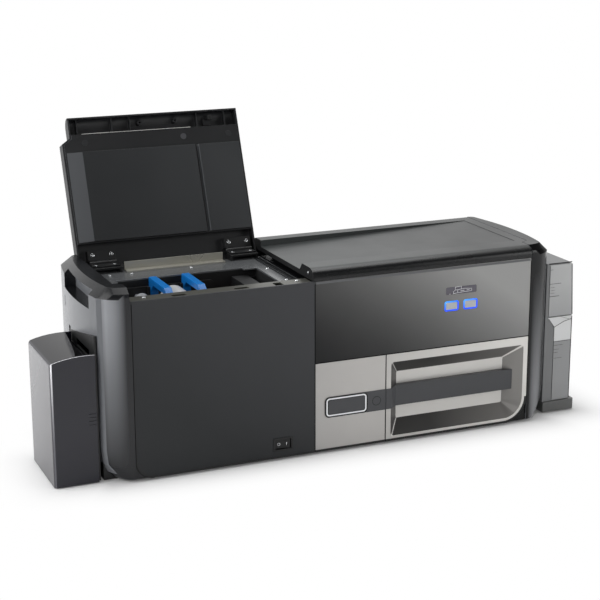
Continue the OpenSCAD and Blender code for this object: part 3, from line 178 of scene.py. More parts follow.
class NodeWeb:
    """The node tree of one material or world."""

    def __init__(self, owner: Material | bpy.types.World) -> None:
        """Gives its owner an empty tree, so that only nodes from add() are in it.

        Args:
            owner: The material or the world.
        """
        owner.use_nodes = True
        self.tree = owner.node_tree
        self.tree.nodes.clear()

    def add(
        self, kind: str, inputs: dict[Any, Any], out: int | str = 0, **settings: Any
    ) -> Signal:
        """Adds a node, sets it up and joins its inputs.

        Args:
            kind: The node's type name after "ShaderNode".
            inputs: Values or signals by socket name or number.
            out: The output that is wanted.
            **settings: Properties that are set before the inputs.

        Returns:
            The wanted output as a signal.
        """
        node = self.tree.nodes.new("ShaderNode" + kind)
        for name, value in settings.items():
            setattr(node, name, value)
        for name, value in inputs.items():
            socket = node.inputs[name]
            if isinstance(value, Signal):
                self.tree.links.new(value.socket, socket)
            else:
                socket.default_value = (*value, 1.0) if socket.type == "RGBA" else value
        return Signal(self, node.outputs[out] if len(node.outputs) else None)

    def math(self, operation: str, first: Any, second: Any = 0.0) -> Signal:
        """Adds a Math node and returns its result."""
        return self.add("Math", {0: first, 1: second}, operation=operation)

    def vector(self, operation: str, first: Any, second: Point = (0.0, 0.0, 0.0)) -> Signal:
        """Adds a Vector Math node and returns its number or its vector."""
        out = "Value" if operation in ("DOT_PRODUCT", "LENGTH") else "Vector"
        return self.add("VectorMath", {0: first, 1: second}, out, operation=operation)

    def place(self) -> Signal:
        """Returns the point of the surface in the object's own coordinates."""
        return self.add("TexCoord", {}, "Object")

    def noise(self, scale: float, detail: float = 2.0, place: Signal | None = None) -> Signal:
        """Returns smooth noise from 0 to 1; scale is in waves to the metre."""
        inputs = {"Vector": place or self.place(), "Scale": scale, "Detail": detail}
        return self.add("TexNoise", inputs, "Fac")

    def along(self, axis: str) -> Signal:
        """Returns one coordinate of the surface point, in metres."""
        return self.add("SeparateXYZ", {0: self.place()}, axis)

    def blend(self, mask: Any, first: Any, second: Any) -> Signal:
        """Returns the first colour where the mask is 0 and the second where it is 1."""
        return self.add("Mix", {0: mask, 6: first, 7: second}, 2, data_type="RGBA")


@dataclass(frozen=True)
class Finish:
    """A moulded or painted surface with a fine grain, soft unevenness and rounded edges.

    grain is the height of the surface texture in micrometres and grain_size its period in
    millimetres. mottle is how far the colour drifts, smudge how far the roughness does, and
    edge is the radius, in millimetres, that light sees on sharp edges.
    """

    colour: str
    roughness: float = 0.5
    grain: float = 12.0
    grain_size: float = 0.9
    metallic: float = 0.0
    specular: float = 0.5
    mottle: float = 0.06
    smudge: float = 0.08
    edge: float = 0.5
    alpha: float = 1.0

    def surface_colour(self, web: NodeWeb) -> Signal:
        """Makes the base colour with its slow drift and fine speckle.

        Args:
            web: The material's nodes.

        Returns:
            The colour.
        """
        drift = web.noise(9.0, 3.0) * 0.7 + web.noise(900.0, 1.0) * 0.3
        dark = shade(self.colour, 1 - self.mottle)
        return web.blend(drift, dark, shade(self.colour, 1 + self.mottle, 0.0004))

    def surface_height(self, web: NodeWeb) -> Signal:
        """Returns the fine height that the grain gives the surface, from 0 to 1."""
        return web.noise(1000.0 / self.grain_size)

    def extra(self, web: NodeWeb) -> dict[str, Any]:
        """Returns what further sockets of the shader take."""
        return {}

    def make(self, name: str) -> Material:
        """Builds the material.

        Args:
            name: The name that it gets.

        Returns:
            The material, with its nodes.
        """
        made = bpy.data.materials.new(name)
        web = NodeWeb(made)
        rough = web.noise(14.0, 3.0) * (2 * self.smudge) + (self.roughness - self.smudge)
        relief = {
            "Strength": 0.6,
            "Distance": self.grain * MM * MM,
            "Height": self.surface_height(web),
            "Normal": web.add("Bevel", {"Radius": self.edge * MM}, samples=4),
        }
        surface = {
            "Base Color": self.surface_colour(web),
            "Roughness": rough.bounded(),
            "Metallic": self.metallic,
            "Specular IOR Level": self.specular,
            "Alpha": self.alpha,
            "Normal": web.add("Bump", relief),
            **self.extra(web),
        }
        web.add("OutputMaterial", {"Surface": web.add("BsdfPrincipled", surface)})
        made.diffuse_color = (*shade(self.colour), 1.0)
        return made


@dataclass(frozen=True)
class Brushed(Finish):
    """Sheet metal with fine marks along X."""

    grain: float = 6.0
    mottle: float = 0.1
    grooves: Point = (40.0, 4000.0, 4000.0)

    def surface_height(self, web: NodeWeb) -> Signal:
        """Returns the height of long fine grooves along X."""
        stretched = web.add("Mapping", {"Vector": web.place(), "Scale": self.grooves})
        return web.noise(1.0, 3.0, stretched)


@dataclass(frozen=True)
class Graded(Finish):
    """A painted gradient of light and shade that lightens evenly from one place to another.

    start and end are working points in millimetres, far is the colour at the end and bend the
    power that the passage follows.
    """

    far: str = "bcbcbc"
    start: Point = (0.0, 0.0, 0.0)
    end: Point = (1.0, 0.0, 0.0)
    bend: float = 1.0

    def surface_colour(self, web: NodeWeb) -> Signal:
        """Makes the two colours' passage with a slow drift.

        Args:
            web: The material's nodes.

        Returns:
            The colour.
        """
        a, b = LAYOUT.at(*self.start), LAYOUT.at(*self.end)
        way = (b - a) / (b - a).length_squared
        share = web.vector("DOT_PRODUCT", web.vector("SUBTRACT", web.place(), a), way)
        eased = web.math("POWER", share.bounded(), self.bend)
        passage = web.blend(eased, shade(self.colour), shade(self.far))
        return web.blend(web.noise(9.0, 3.0) * self.mottle, passage, shade(self.far, 1.12, 0.0006))


@dataclass(frozen=True)
class Banded(Finish):
    """A lacquer whose front has a soft painted highlight that runs up it as a band at one X.

    far is the band's colour, middle and half its place and half width. The band is faintest at
    the height low and strongest at the height high, and it ends at the depth, losing fade
    times its strength a metre.
    """

    far: str = "bcbcbc"
    middle: float = 0.0
    half: float = 20.0
    low: float = 0.0
    high: float = 200.0
    depth: float = 24.0
    fade: float = 90.0

    def surface_colour(self, web: NodeWeb) -> Signal:
        """Lays the painted highlight band over the lacquer's colour.

        Args:
            web: The material's nodes.

        Returns:
            The colour.
        """
        place = LAYOUT.at(self.middle, self.depth, self.low)
        across = (web.along("X") - place.x) * (1000 / self.half)
        rise = (web.along("Z") - place.z) * (1000 / (self.high - self.low))
        ahead = (web.along("Y") - place.y) * -self.fade
        mask = (1 - across * across).bounded() * rise.bounded() * ahead.bounded()
        return web.blend(mask, super().surface_colour(web), shade(self.far))


@dataclass(frozen=True)
class Wound(Finish):
    """Film or ribbon wound on a core, with the rings that its layers leave on the ends."""

    roughness: float = 0.3
    grain: float = 60.0
    core_x: float = 0.0
    core_z: float = 0.0
    layer: float = 0.7

    def surface_height(self, web: NodeWeb) -> Signal:
        """Makes rings round the core.

        Args:
            web: The material's nodes.

        Returns:
            Their height, from 0 to 1.
        """
        centre = LAYOUT.at(self.core_x, LAYOUT.middle_y, self.core_z)
        place = web.add("Mapping", {"Vector": web.place(), "Location": -centre})
        far = web.vector("LENGTH", web.vector("MULTIPLY", place, (1.0, 0.0, 1.0)))
        return web.math("SINE", far * (2 * pi / (self.layer * MM))) * 0.5 + 0.5


@dataclass(frozen=True)
class Lit(Finish):
    """A lit ring of clear plastic, its glow painted brighter and bluer-green towards its top left
    as a highlight.
    """

    roughness: float = 0.3
    grain: float = 1.0
    # glow is the colour of the painted highlight at the ring's top left, and the X and Z fields
    # below place it
    glow: str = "5ad2ff"
    power: float = 0.75
    bright_x: float = 0.0
    bright_z: float = 204.5
    reach: float = 14.0

    def extra(self, web: NodeWeb) -> dict[str, Any]:
        """Makes the light that the ring gives, with a painted highlight at its top left.

        Args:
            web: The material's nodes.

        Returns:
            The emission's colour and strength by socket name.
        """
        corner = LAYOUT.at(self.bright_x, 0, self.bright_z)
        across = web.along("X") - corner.x
        up = corner.z - web.along("Z")
        near = (1 - (across * 0.45 + up) * (1 / (self.reach * MM))).bounded()
        glow = web.blend(near, shade(self.colour), shade(self.glow))
        return {"Emission Color": glow, "Emission Strength": self.power}


@dataclass(frozen=True)
class Clear(Finish):
    """Clear or smoky moulded plastic, of another tone above a height.

    above is the colour over the height split, and blur the height of the passage, in millimetres.
    clouds is how much of the darker tone, tone times the colour, comes and goes.
    """

    roughness: float = 0.1
    specular: float = 0.6
    grain: float = 2.0
    edge: float = 0.2
    above: str = "bcbcbc"
    split: float = 100.0
    blur: float = 2.0
    clouds: float = 0.16
    tone: float = 0.72

    def surface_colour(self, web: NodeWeb) -> Signal:
        """Makes the two tones with their passage and faint clouds.

        Args:
            web: The material's nodes.

        Returns:
            The colour.
        """
        share = (web.along("Z") * (1000 / self.blur) - (self.split / self.blur - 0.5)).bounded()
        tones = web.blend(share, shade(self.colour), shade(self.above))
        return web.blend(web.noise(26.0, 3.0) * self.clouds, tones, shade(self.colour, self.tone))


CAP = {"grain": 6, "smudge": 0.03}
SILVER = {"metallic": 0.3, "grain": 8}
LINER = {"grain": 16, "grain_size": 1.1}
SMOKE = {"grain": 2, "smudge": 0.02}
FINISHES: dict[str, Finish] = {
    # The laminator's front is painted with light: darker at the lower left, lighter at the upper
    # right.
    "laminator": Graded(
        "1f2123", 0.48, 20, 0.8, specular=0.4, far="3a3b3e", start=(-160, 0, 60), end=(-10, 0, 260)
    ),
    "lid": Finish("1a1b1d", 0.44, 20, 0.8),
    # Each cap's front carries a painted highlight, a soft light band up it.
    "left_cap": Banded(
        "191a1d", 0.24, specular=0.45, far="84868a", middle=-298, half=25, low=20, high=235, **CAP
    ),
    "right_cap": Banded(
        "121314", 0.24, specular=0.3, far="808184", middle=364, half=13, low=235, high=50, **CAP
    ),
    # Painted light and shade on the caps: their sides lighten towards the back and bottom, and
    # their tops are painted darker.
    "cap_side": Graded("505256", 0.26, far="7a7c80", start=(0, 60, 290), end=(0, 235, 170), **CAP),
    "left_cap_top": Finish("131416", 0.26, specular=0.25, **CAP),
    "right_cap_top": Finish("060607", 0.4, specular=0.02, **CAP),
    # The upper panel's painted reflection: dark at its lower left, light at its upper right.
    "upper": Graded(
        "0d0e10", 0.34, 5, specular=0.2, far="9c9c9b", start=(-5.8, 0, 142.3), end=(128, 0, 335),
        bend=2,
    ),
    # The cover's top carries a painted sheen, lighter towards its left rear than the darker front
    # lip.
    "cover": Graded(
        "3d4040", 0.36, 10, specular=0.35, far="222424", start=(60, 120, 250), end=(340, 40, 250)
    ),
    "cover_lip": Finish("101112", 0.28, 8),
    # Painted light and shade on the one silver paint: it lightens to the right, the recess's rim
    # and floor are painted lighter and its flanks and slopes darker.
    "silver": Graded(
        "acaaa8", 0.4, mottle=0.3, smudge=0.04, far="cfccc8", start=(0, 0, 60), end=(340, 0, 120),
        **SILVER,
    ),
    "silver_rim": Graded(
        "bab8b5", 0.4, mottle=0.2, smudge=0.04, far="e0deda", start=(110, 0, 60), end=(345, 0, 130),
        **SILVER,
    ),
    "silver_floor": Finish("d6d4d0", 0.4, mottle=0.03, **SILVER),
    "silver_shade": Graded(
        "3d3c3b", 0.36, mottle=0.03, far="7c7a77", start=(190, 0, 80), end=(335, 0, 80), **SILVER
    ),
    "silver_flank": Graded(
        "484645", 0.36, far="8a8885", start=(140, 0, 80), end=(330, 0, 80), **SILVER
    ),
    "graphite": Finish("414245", 0.42, 8),
    "graphite_light": Finish("5b5c5e", 0.42, 8),
    "graphite_dark": Finish("1f2022", 0.45, 8),
    "black": Finish("0f1011", 0.42, 10),
    "joint": Finish("050505", 0.7, 2, specular=0.1),
    "inner": Finish("0b0c0d", 0.55, 18),
    # Painted light and shade on the liner: it lightens towards its upper right, its lowest band is
    # painted darker and its left flank lighter.
    "liner": Graded("1b1d1f", 0.46, far="2c2e30", start=(-230, 0, 330), end=(-50, 0, 400), **LINER),
    "liner_rim": Finish("141517", 0.46, **LINER),
    "liner_flank": Finish("4a4c4f", 0.46, **LINER),
    "rubber": Finish("0d0d0d", 0.8, 30, mottle=0.15),
    "ground_rubber": Finish("1c1c1e", 0.7, 25, 0.5),
    "silicone": Finish("8a3423", 0.55, 14),
    "display": Finish("55525c", 0.16, 2, specular=0.7, mottle=0.02),
    "key": Finish("b4b6ba", 0.4, 4, mottle=0.02),
    "mark": Finish("f0f1f4", 0.5, 2, mottle=0.02),
    # Painted light: the blue handles lighten towards their tops.
    "blue": Graded(
        "0a60a6", 0.32, 5, specular=0.4, far="1a88dc", start=(0, 0, 246), end=(0, 0, 262)
    ),
    "blue_tip": Finish("dcefff", 0.36, 5),
    "smoke": Finish("1a1a23", 0.1, **SMOKE),
    # Painted light and shade on the output hopper's smoky plastic: a darker top, a painted
    # reflection on its left side and a painted highlight on its front left corner and rim.
    "smoke_top": Finish("131216", 0.14, specular=0.2, **SMOKE),
    "smoke_side": Graded(
        "39383d", 0.14, specular=0.4, far="868689", start=(-373, 30, 60), end=(-373, 190, 190),
        **SMOKE,
    ),
    "smoke_edge": Graded(
        "4a4a50", 0.14, far="e6e6ea", start=(0, 0, 30), end=(0, 0, 168), bend=2.5, **SMOKE
    ),
    "hopper_grey": Finish("757677", 0.36, 10),
    "hopper_pane": Finish("b9babb", 0.4, 4, mottle=0.03),
    "hopper_tray": Finish("5c5d5c", 0.4),
    "tray": Finish("26282a", 0.4),
    "spring": Finish("9a9c9d", 0.4, 8),
    "gear": Finish("d2cdbd", 0.45, 4),
    "board": Finish("1a5c34", 0.35, 8, mottle=0.2),
    "steel": Brushed("b6b4aa", 0.3, metallic=0.6),
    "rail": Brushed("55554f", 0.34, metallic=0.5),
    "dark_steel": Brushed("26282a", 0.24, 5, metallic=0.6, mottle=0.15),
    "deck": Brushed("6a6c6e", 0.22, 5, metallic=0.3, specular=0.8, mottle=0.15),
    "plated": Brushed("7a7c7e", 0.36, metallic=0.85, mottle=0.12),
    "pale_steel": Finish("efeeea", 0.35, 3, metallic=0.4),
    "bright": Finish("e4e6e8", 0.18, 2, metallic=1, mottle=0.02, smudge=0.05),
    "brass": Finish("c7a452", 0.3, 3, metallic=1),
    "film": Wound("c2c3c4", core_x=-168, core_z=220),
    "waste_film": Wound("9fa1a4", core_x=-214, core_z=222),
    "ribbon": Wound("5d3f78", core_x=243, core_z=218),
    "used_ribbon": Wound("34303c", core_x=162, core_z=218),
    # The rings' glow carries a painted highlight at their top left.
    "ring": Lit("0a48f0", bright_x=204),
    "second_ring": Lit("0a48f0", bright_x=235),
    "clear_door": Clear("adaeaf", alpha=0.8, above="c6c7c7", split=175, blur=60),
    "smoky_door": Clear("9c9d9e", alpha=0.88, above="e4e5e5", split=113, blur=1.5),
    "door_edge": Finish("17181a", 0.3, 2),
}


@cache
def material(name: str) -> Material:
    """Returns the named finish's material, made on first use."""
    return FINISHES[name].make("finish_" + name)


# ---- modelling


def arc(x: float, z: float, radius: float, angles: Iterable[float]) -> list[Flat]:
    """Returns the points of an arc in X and Z, at angles in degrees."""
    turns = [radians(angle) for angle in angles]
    return [(x + radius * cos(t), z + radius * sin(t)) for t in turns]


def rounded_outline(low: Flat, high: Flat, corner: float) -> list[Flat]:
    """Draws a rectangle with rounded corners.

    Args:
        low: X and Z of its lower left corner.
        high: X and Z of its upper right corner.
        corner: The radius of its corners.

    Returns:
        Its points, anticlockwise.
    """
    left, right = low[0] + corner, high[0] - corner
    foot, top = low[1] + corner, high[1] - corner
    points = []
    for quarter, (x, z) in enumerate(((right, top), (left, top), (left, foot), (right, foot))):
        points += arc(x, z, corner, range(90 * quarter, 90 * quarter + 91, 15))
    return points


def placed(name: str, data: bpy.types.ID) -> Piece:
    """Makes an object of some data and links it to the scene.

    Args:
        name: The object's name.
        data: Its mesh, light or camera.

    Returns:
        The object.
    """
    piece = bpy.data.objects.new(name, data)
    bpy.context.scene.collection.objects.link(piece)
    return piece


def take(*objects: Piece) -> None:
    """Selects only some objects and makes the first one active.

    Args:
        *objects: The objects to select.
    """
    bpy.ops.object.select_all(action="DESELECT")
    for each in objects:
        each.select_set(True)
    bpy.context.view_layer.objects.active = objects[0]


@contextmanager
def editing(piece: Piece) -> Iterator[None]:
    """Opens a piece's mesh for editing and closes it again.

    Args:
        piece: The object to edit.

    Yields:
        Nothing, while the mesh is open.
    """
    take(piece)
    bpy.ops.object.mode_set(mode="EDIT")
    yield
    bpy.ops.object.mode_set(mode="OBJECT")


def clear_selection(piece: Piece, kind: str) -> None:
    """Selects nothing in a mesh and says what is selected next.

    Args:
        piece: The object with the mesh.
        kind: The kind of element, such as EDGE.
    """
    with editing(piece):
        bpy.ops.mesh.select_mode(type=kind)
        bpy.ops.mesh.select_all(action="DESELECT")


def face_outwards() -> None:
    """Points the faces of the mesh that is open outwards."""
    bpy.ops.mesh.select_all(action="SELECT")
    bpy.ops.mesh.normals_make_consistent(inside=False)


def fresh(name: str) -> Piece:
    """Names the object that was just added and moves its place, turn and size into its mesh.

    Args:
        name: The name that it gets.

    Returns:
        The object.
    """
    piece = bpy.context.active_object
    piece.name = name
    take(piece)
    bpy.ops.object.transform_apply(location=True, rotation=True, scale=True)
    return piece


def modify(piece: Piece, kind: str, **settings: Any) -> None:
    """Adds a modifier, sets it up and applies it.

    Args:
        piece: The object to change.
        kind: The modifier's type.
        **settings: The modifier's properties.
    """
    modifier = piece.modifiers.new(kind.title(), kind)
    for name, value in settings.items():
        setattr(modifier, name, value)
    take(piece)
    bpy.ops.object.modifier_apply(modifier=modifier.name)


def soften(piece: Piece, edge: float, segments: int = 2, fold: float = 32.0) -> None:
    """Rounds a piece's sharp edges and smooths what lies between them.

    Args:
        piece: The object to round.
        edge: The rounding in millimetres.
        segments: Facets across each rounding.
        fold: The angle, in degrees, from which an edge counts as sharp.
    """
    if edge > 0:
        modify(
            piece, "BEVEL", width=edge * MM, segments=segments, limit_method="ANGLE",
            angle_limit=radians(fold),
        )
    take(piece)
    bpy.ops.object.shade_smooth_by_angle(angle=radians(max(fold, 50.0)))
    modify(piece, "WEIGHTED_NORMAL", weight=60, keep_sharp=True)


def cube(
    name: str, size: Sequence[float], middle: Sequence[float] = (0, 0, 0), turn: float = 0
) -> Piece:
    """Makes a sharp block, sized in metres, round a point of the frame."""
    bpy.ops.mesh.primitive_cube_add(size=1, location=middle, scale=size, rotation=(0, 0, turn))
    return fresh(name)


def disc(
    name: str, radius: float, depth: float, middle: Sequence[float], vertices: int
) -> Piece:
    """Makes a sharp disc.

    Args:
        name: The piece's name.
        radius: Its radius in millimetres.
        depth: Its thickness in millimetres.
        middle: The point of the frame that it lies round, in metres.
        vertices: The corners of its rim.

    Returns:
        The disc.
    """
    bpy.ops.mesh.primitive_cylinder_add(
        vertices=vertices, radius=radius * MM, depth=depth * MM, location=middle
    )
    return fresh(name)


def block(name: str, low: Point, high: Point, edge: float = 0.2) -> Piece:
    """Makes a block with rounded edges.

    Args:
        name: The piece's name.
        low: Its lowest working corner.
        high: Its highest working corner.
        edge: The rounding in millimetres.

    Returns:
        The block.
    """
    a, b = LAYOUT.at(*low), LAYOUT.at(*high)
    piece = cube(name, b - a, (a + b) / 2)
    soften(piece, edge)
    return piece


def sheet(
    name: str, outline: Sequence[Flat], front: float, back: float, edge: float = 0.0
) -> Piece:
    """Makes a plate from an outline in X and Z, carried from one Y to another.

    Args:
        name: The piece's name.
        outline: The corners, in working millimetres.
        front: The Y of its front face.
        back: The Y of its back face.
        edge: The rounding of its edges, in millimetres.

    Returns:
        The plate.
    """
    bpy.ops.mesh.primitive_circle_add(vertices=len(outline), fill_type="NGON")
    piece = fresh(name)
    for vertex, (x, z) in zip(piece.data.vertices, outline):
        vertex.co = LAYOUT.at(x, back, z)
    depth = LAYOUT.at(0, front, 0).y - LAYOUT.at(0, back, 0).y
    with editing(piece):
        bpy.ops.mesh.select_all(action="SELECT")
        bpy.ops.mesh.extrude_region_move(TRANSFORM_OT_translate={"value": (0, depth, 0)})
        face_outwards()
    soften(piece, edge, 1)
    return piece


def band_frame(
    name: str, box: tuple[Flat, Flat], corner: float, width: float, front: float
) -> Piece:
    """Makes a rounded rectangular frame of even width on the badge's plane.

    Args:
        name: The piece's name.
        box: X and Z of its lower left and upper right corners.
        corner: The radius of its outer corners.
        width: The width of its band.
        front: The Y of its front face.

    Returns:
        The frame.
    """
    piece = sheet(name, rounded_outline(*box, corner), front, BADGE_BACK)
    clear_selection(piece, "FACE")
    for face in piece.data.polygons:
        face.select = abs(face.normal.y) > 0.9
    with editing(piece):
        bpy.ops.mesh.inset(thickness=width * MM, depth=0)
        bpy.ops.mesh.bridge_edge_loops()
        face_outwards()
    soften(piece, 0.1, 1, 50)
    return piece


def round_edges(piece: Piece, radius: float, test: EdgeTest) -> None:
    """Rounds the bent edges whose middle passes a test.

    Args:
        piece: The object to round.
        radius: The width of the rounding in millimetres.
        test: Takes the middle of an edge in working millimetres.
    """
    clear_selection(piece, "EDGE")
    mesh = piece.data
    sides: dict[tuple[int, int], list[Vector]] = {}
    for face in mesh.polygons:
        for key in face.edge_keys:
            sides.setdefault(key, []).append(face.normal)
    for edge in mesh.edges:
        a, b = (mesh.vertices[v].co for v in edge.vertices)
        normals = sides.get(edge.key, [])
        bent = len(normals) == 2 and normals[0].angle(normals[1], 0.0) > BENT
        edge.select = bent and test(LAYOUT.working((a + b) / 2))
    with editing(piece):
        bpy.ops.mesh.bevel(offset=radius * MM, segments=3, clamp_overlap=True)


def paint(piece: Piece, *materials: Material) -> None:
    """Gives a piece materials in place of any it has.

    Args:
        piece: The object to paint.
        *materials: Its materials, in order.
    """
    piece.data.materials.clear()
    for material in materials:
        piece.data.materials.append(material)


@dataclass
class SubAssembly:
    """A part of the machine, with the frame's nodes and their material slots."""

    nodes: dict[str, Piece]
    slots: dict[str, str]

    def keep(
        self, piece: Piece, *finish: str, slot: str = "graphite_plastic", body: str = "machine"
    ) -> None:
        """Paints a finished piece, sets it on its body and logs it.

        Args:
            piece: The piece, with its place in its mesh.
            *finish: The finishes' names.
            slot: The record's material slot; not used.
            body: The body that it rides on.
        """
        paint(piece, *[material(name) for name in finish])
        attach(piece, body)
        LOG.info("%s: %s, %d faces", type(self).__name__, piece.name, len(piece.data.polygons))

    def dress(self, **finishes: str) -> None:
        """Gives CAD nodes that stay their finishes.

        Args:
            **finishes: The finish's name for each node.
        """
        for node, finish in finishes.items():
            paint(self.nodes[node], material(finish))
            LOG.info("%s: %s stays, finish %s", type(self).__name__, node, finish)

    def mould(
        self,
        node: str,
        *finish: str,
        edge: float = 0.6,
        fold: float = 32.0,
        wide: tuple[float, EdgeTest] | None = None,
        tests: Sequence[FaceTest] = (),
    ) -> None:
        """Replaces a CAD node by a rounded, smoothly shaded copy on the same body.

        Args:
            node: The CAD node's name.
            *finish: The finishes' names.
            edge: The rounding of its edges in millimetres.
            fold: The angle from which an edge is rounded.
            wide: A larger rounding in millimetres and the test of the edges that get it.
            tests: Which faces take the second finish, the third and so on. Each takes a
                face's middle, in working millimetres, and its normal, and the last one wins.
        """
        source = self.nodes[node]
        piece = placed(node + "_moulding", source.data.copy())
        with editing(piece):
            bpy.ops.mesh.select_all(action="SELECT")
            bpy.ops.mesh.remove_doubles(threshold=WELD)
            bpy.ops.mesh.dissolve_limited(angle_limit=LEVEL)
        if wide:
            round_edges(piece, *wide)
        soften(piece, edge, 2, fold)
        self.keep(piece, *finish, slot=self.slots[node], body=str(source["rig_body"]))
        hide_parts(node)
        for index, test in enumerate(tests, 1):
            for face in piece.data.polygons:
                if test(LAYOUT.working(face.center), face.normal):
                    face.material_index = index

    def mould_each(self, edge: float, **finishes: str) -> None:
        """Replaces nodes that take one finish, with the same rounding in millimetres."""
        for node, finish in finishes.items():
            self.mould(node, finish, edge=edge)


@dataclass
class Fasteners(SubAssembly):
    """Screws: one head is modelled and copied to every place.

    cross is the recess's length and width in head radii and its depth in head heights.
    """

    head_r: float = 3.0
    head_h: float = 1.4
    crown: float = 0.45
    cross: Point = (1.25, 0.3, 1.1)

    def model(self) -> Piece:
        """Makes the pan head with its cross recess.

        Returns:
            The head, standing on the origin.
        """
        head = disc("head", self.head_r, self.head_h, (0, 0, self.head_h * MM / 2), 28)
        modify(
            head, "BEVEL", width=self.head_h * self.crown * MM, segments=3, limit_method="ANGLE",
            angle_limit=radians(60),
        )
        size = Vector(self.cross) * Vector((self.head_r, self.head_r, self.head_h)) * MM
        for turn in (0.0, pi / 2):
            slot = cube("slot", size, (0, 0, self.head_h * MM), turn)
            modify(head, "BOOLEAN", operation="DIFFERENCE", object=slot, solver="EXACT")
            bpy.data.objects.remove(slot)
        soften(head, 0.0)
        return head

    @staticmethod
    def places() -> Iterator[tuple[str, Point, Facing, Flat, str]]:
        """Lists the screws.

        Yields:
            Each screw's kind, place, facing, scale across and along, and body.
        """
        for x in (-255.0, -227.0, -45.0, -17.0):
            yield "lid_hinge", (x, 203, 258.65), Facing.DOWN, (1.0, 0.25), "lid"
            yield "body_hinge", (x, 203, 257.85), Facing.UP, (1.0, 0.2), "machine"
        for x in (-242.0, -20.0):
            yield "rail", (x, 18.5, 254.4), Facing.UP, (0.95, 1.0), "machine"
        for y in (54.0, 126.0):
            yield "strip", (-20.5, y, 247.4), Facing.UP, (0.95, 1.0), "machine"
        for x in (-243.0, -210.0, -120.0):
            yield "deck", (x, 176, 247.4), Facing.UP, (0.8, 1.0), "machine"
        yield "cover_ear", (-2.4, 19, 264.5), Facing.LEFT, (0.8, 0.6), "cover"
        for x in (-262.0, -130.0, 0.0, 130.0, 340.0):
            for z in (18.0, 245.0):
                yield "rear", (x, 233.9, z), Facing.BACK, (0.9, 1.0), "machine"

    def build(self) -> None:
        """Sets a screw in every place that holds one."""
        head = self.model()
        for count, (kind, spot, facing, (wide, tall), body) in enumerate(self.places()):
            move = Matrix.Translation(LAYOUT.at(*spot)) @ facing.value
            if body == "lid":
                move = LAYOUT.opened() @ move
            move = move @ Matrix.Diagonal((wide, wide, tall, 1.0))
            piece = placed(f"screw_{kind}_{count}", head.data.copy())
            piece.data.transform(move)
            self.keep(piece, "bright", slot="zinc_steel", body=body)
        bpy.data.objects.remove(head)


@dataclass(frozen=True)
class Corner:
    """A front panel's round lower corner: its middle, its radius and -1 left or 1 right."""

    x: float
    z: float
    radius: float
    side: int

    def curve(self, change: float = 0.0) -> list[Flat]:
        """Returns the corner from its foot to its side, with the radius changed."""
        angles = [270 + 9 * self.side * step for step in range(11)]
        return arc(self.x, self.z, self.radius + change, angles)


LEFT_CORNER = Corner(-240.0, 29.0, 25.0, -1)
RIGHT_CORNER = Corner(308.7, 42.0, 38.0, 1)
PANEL_TOP = 252.0


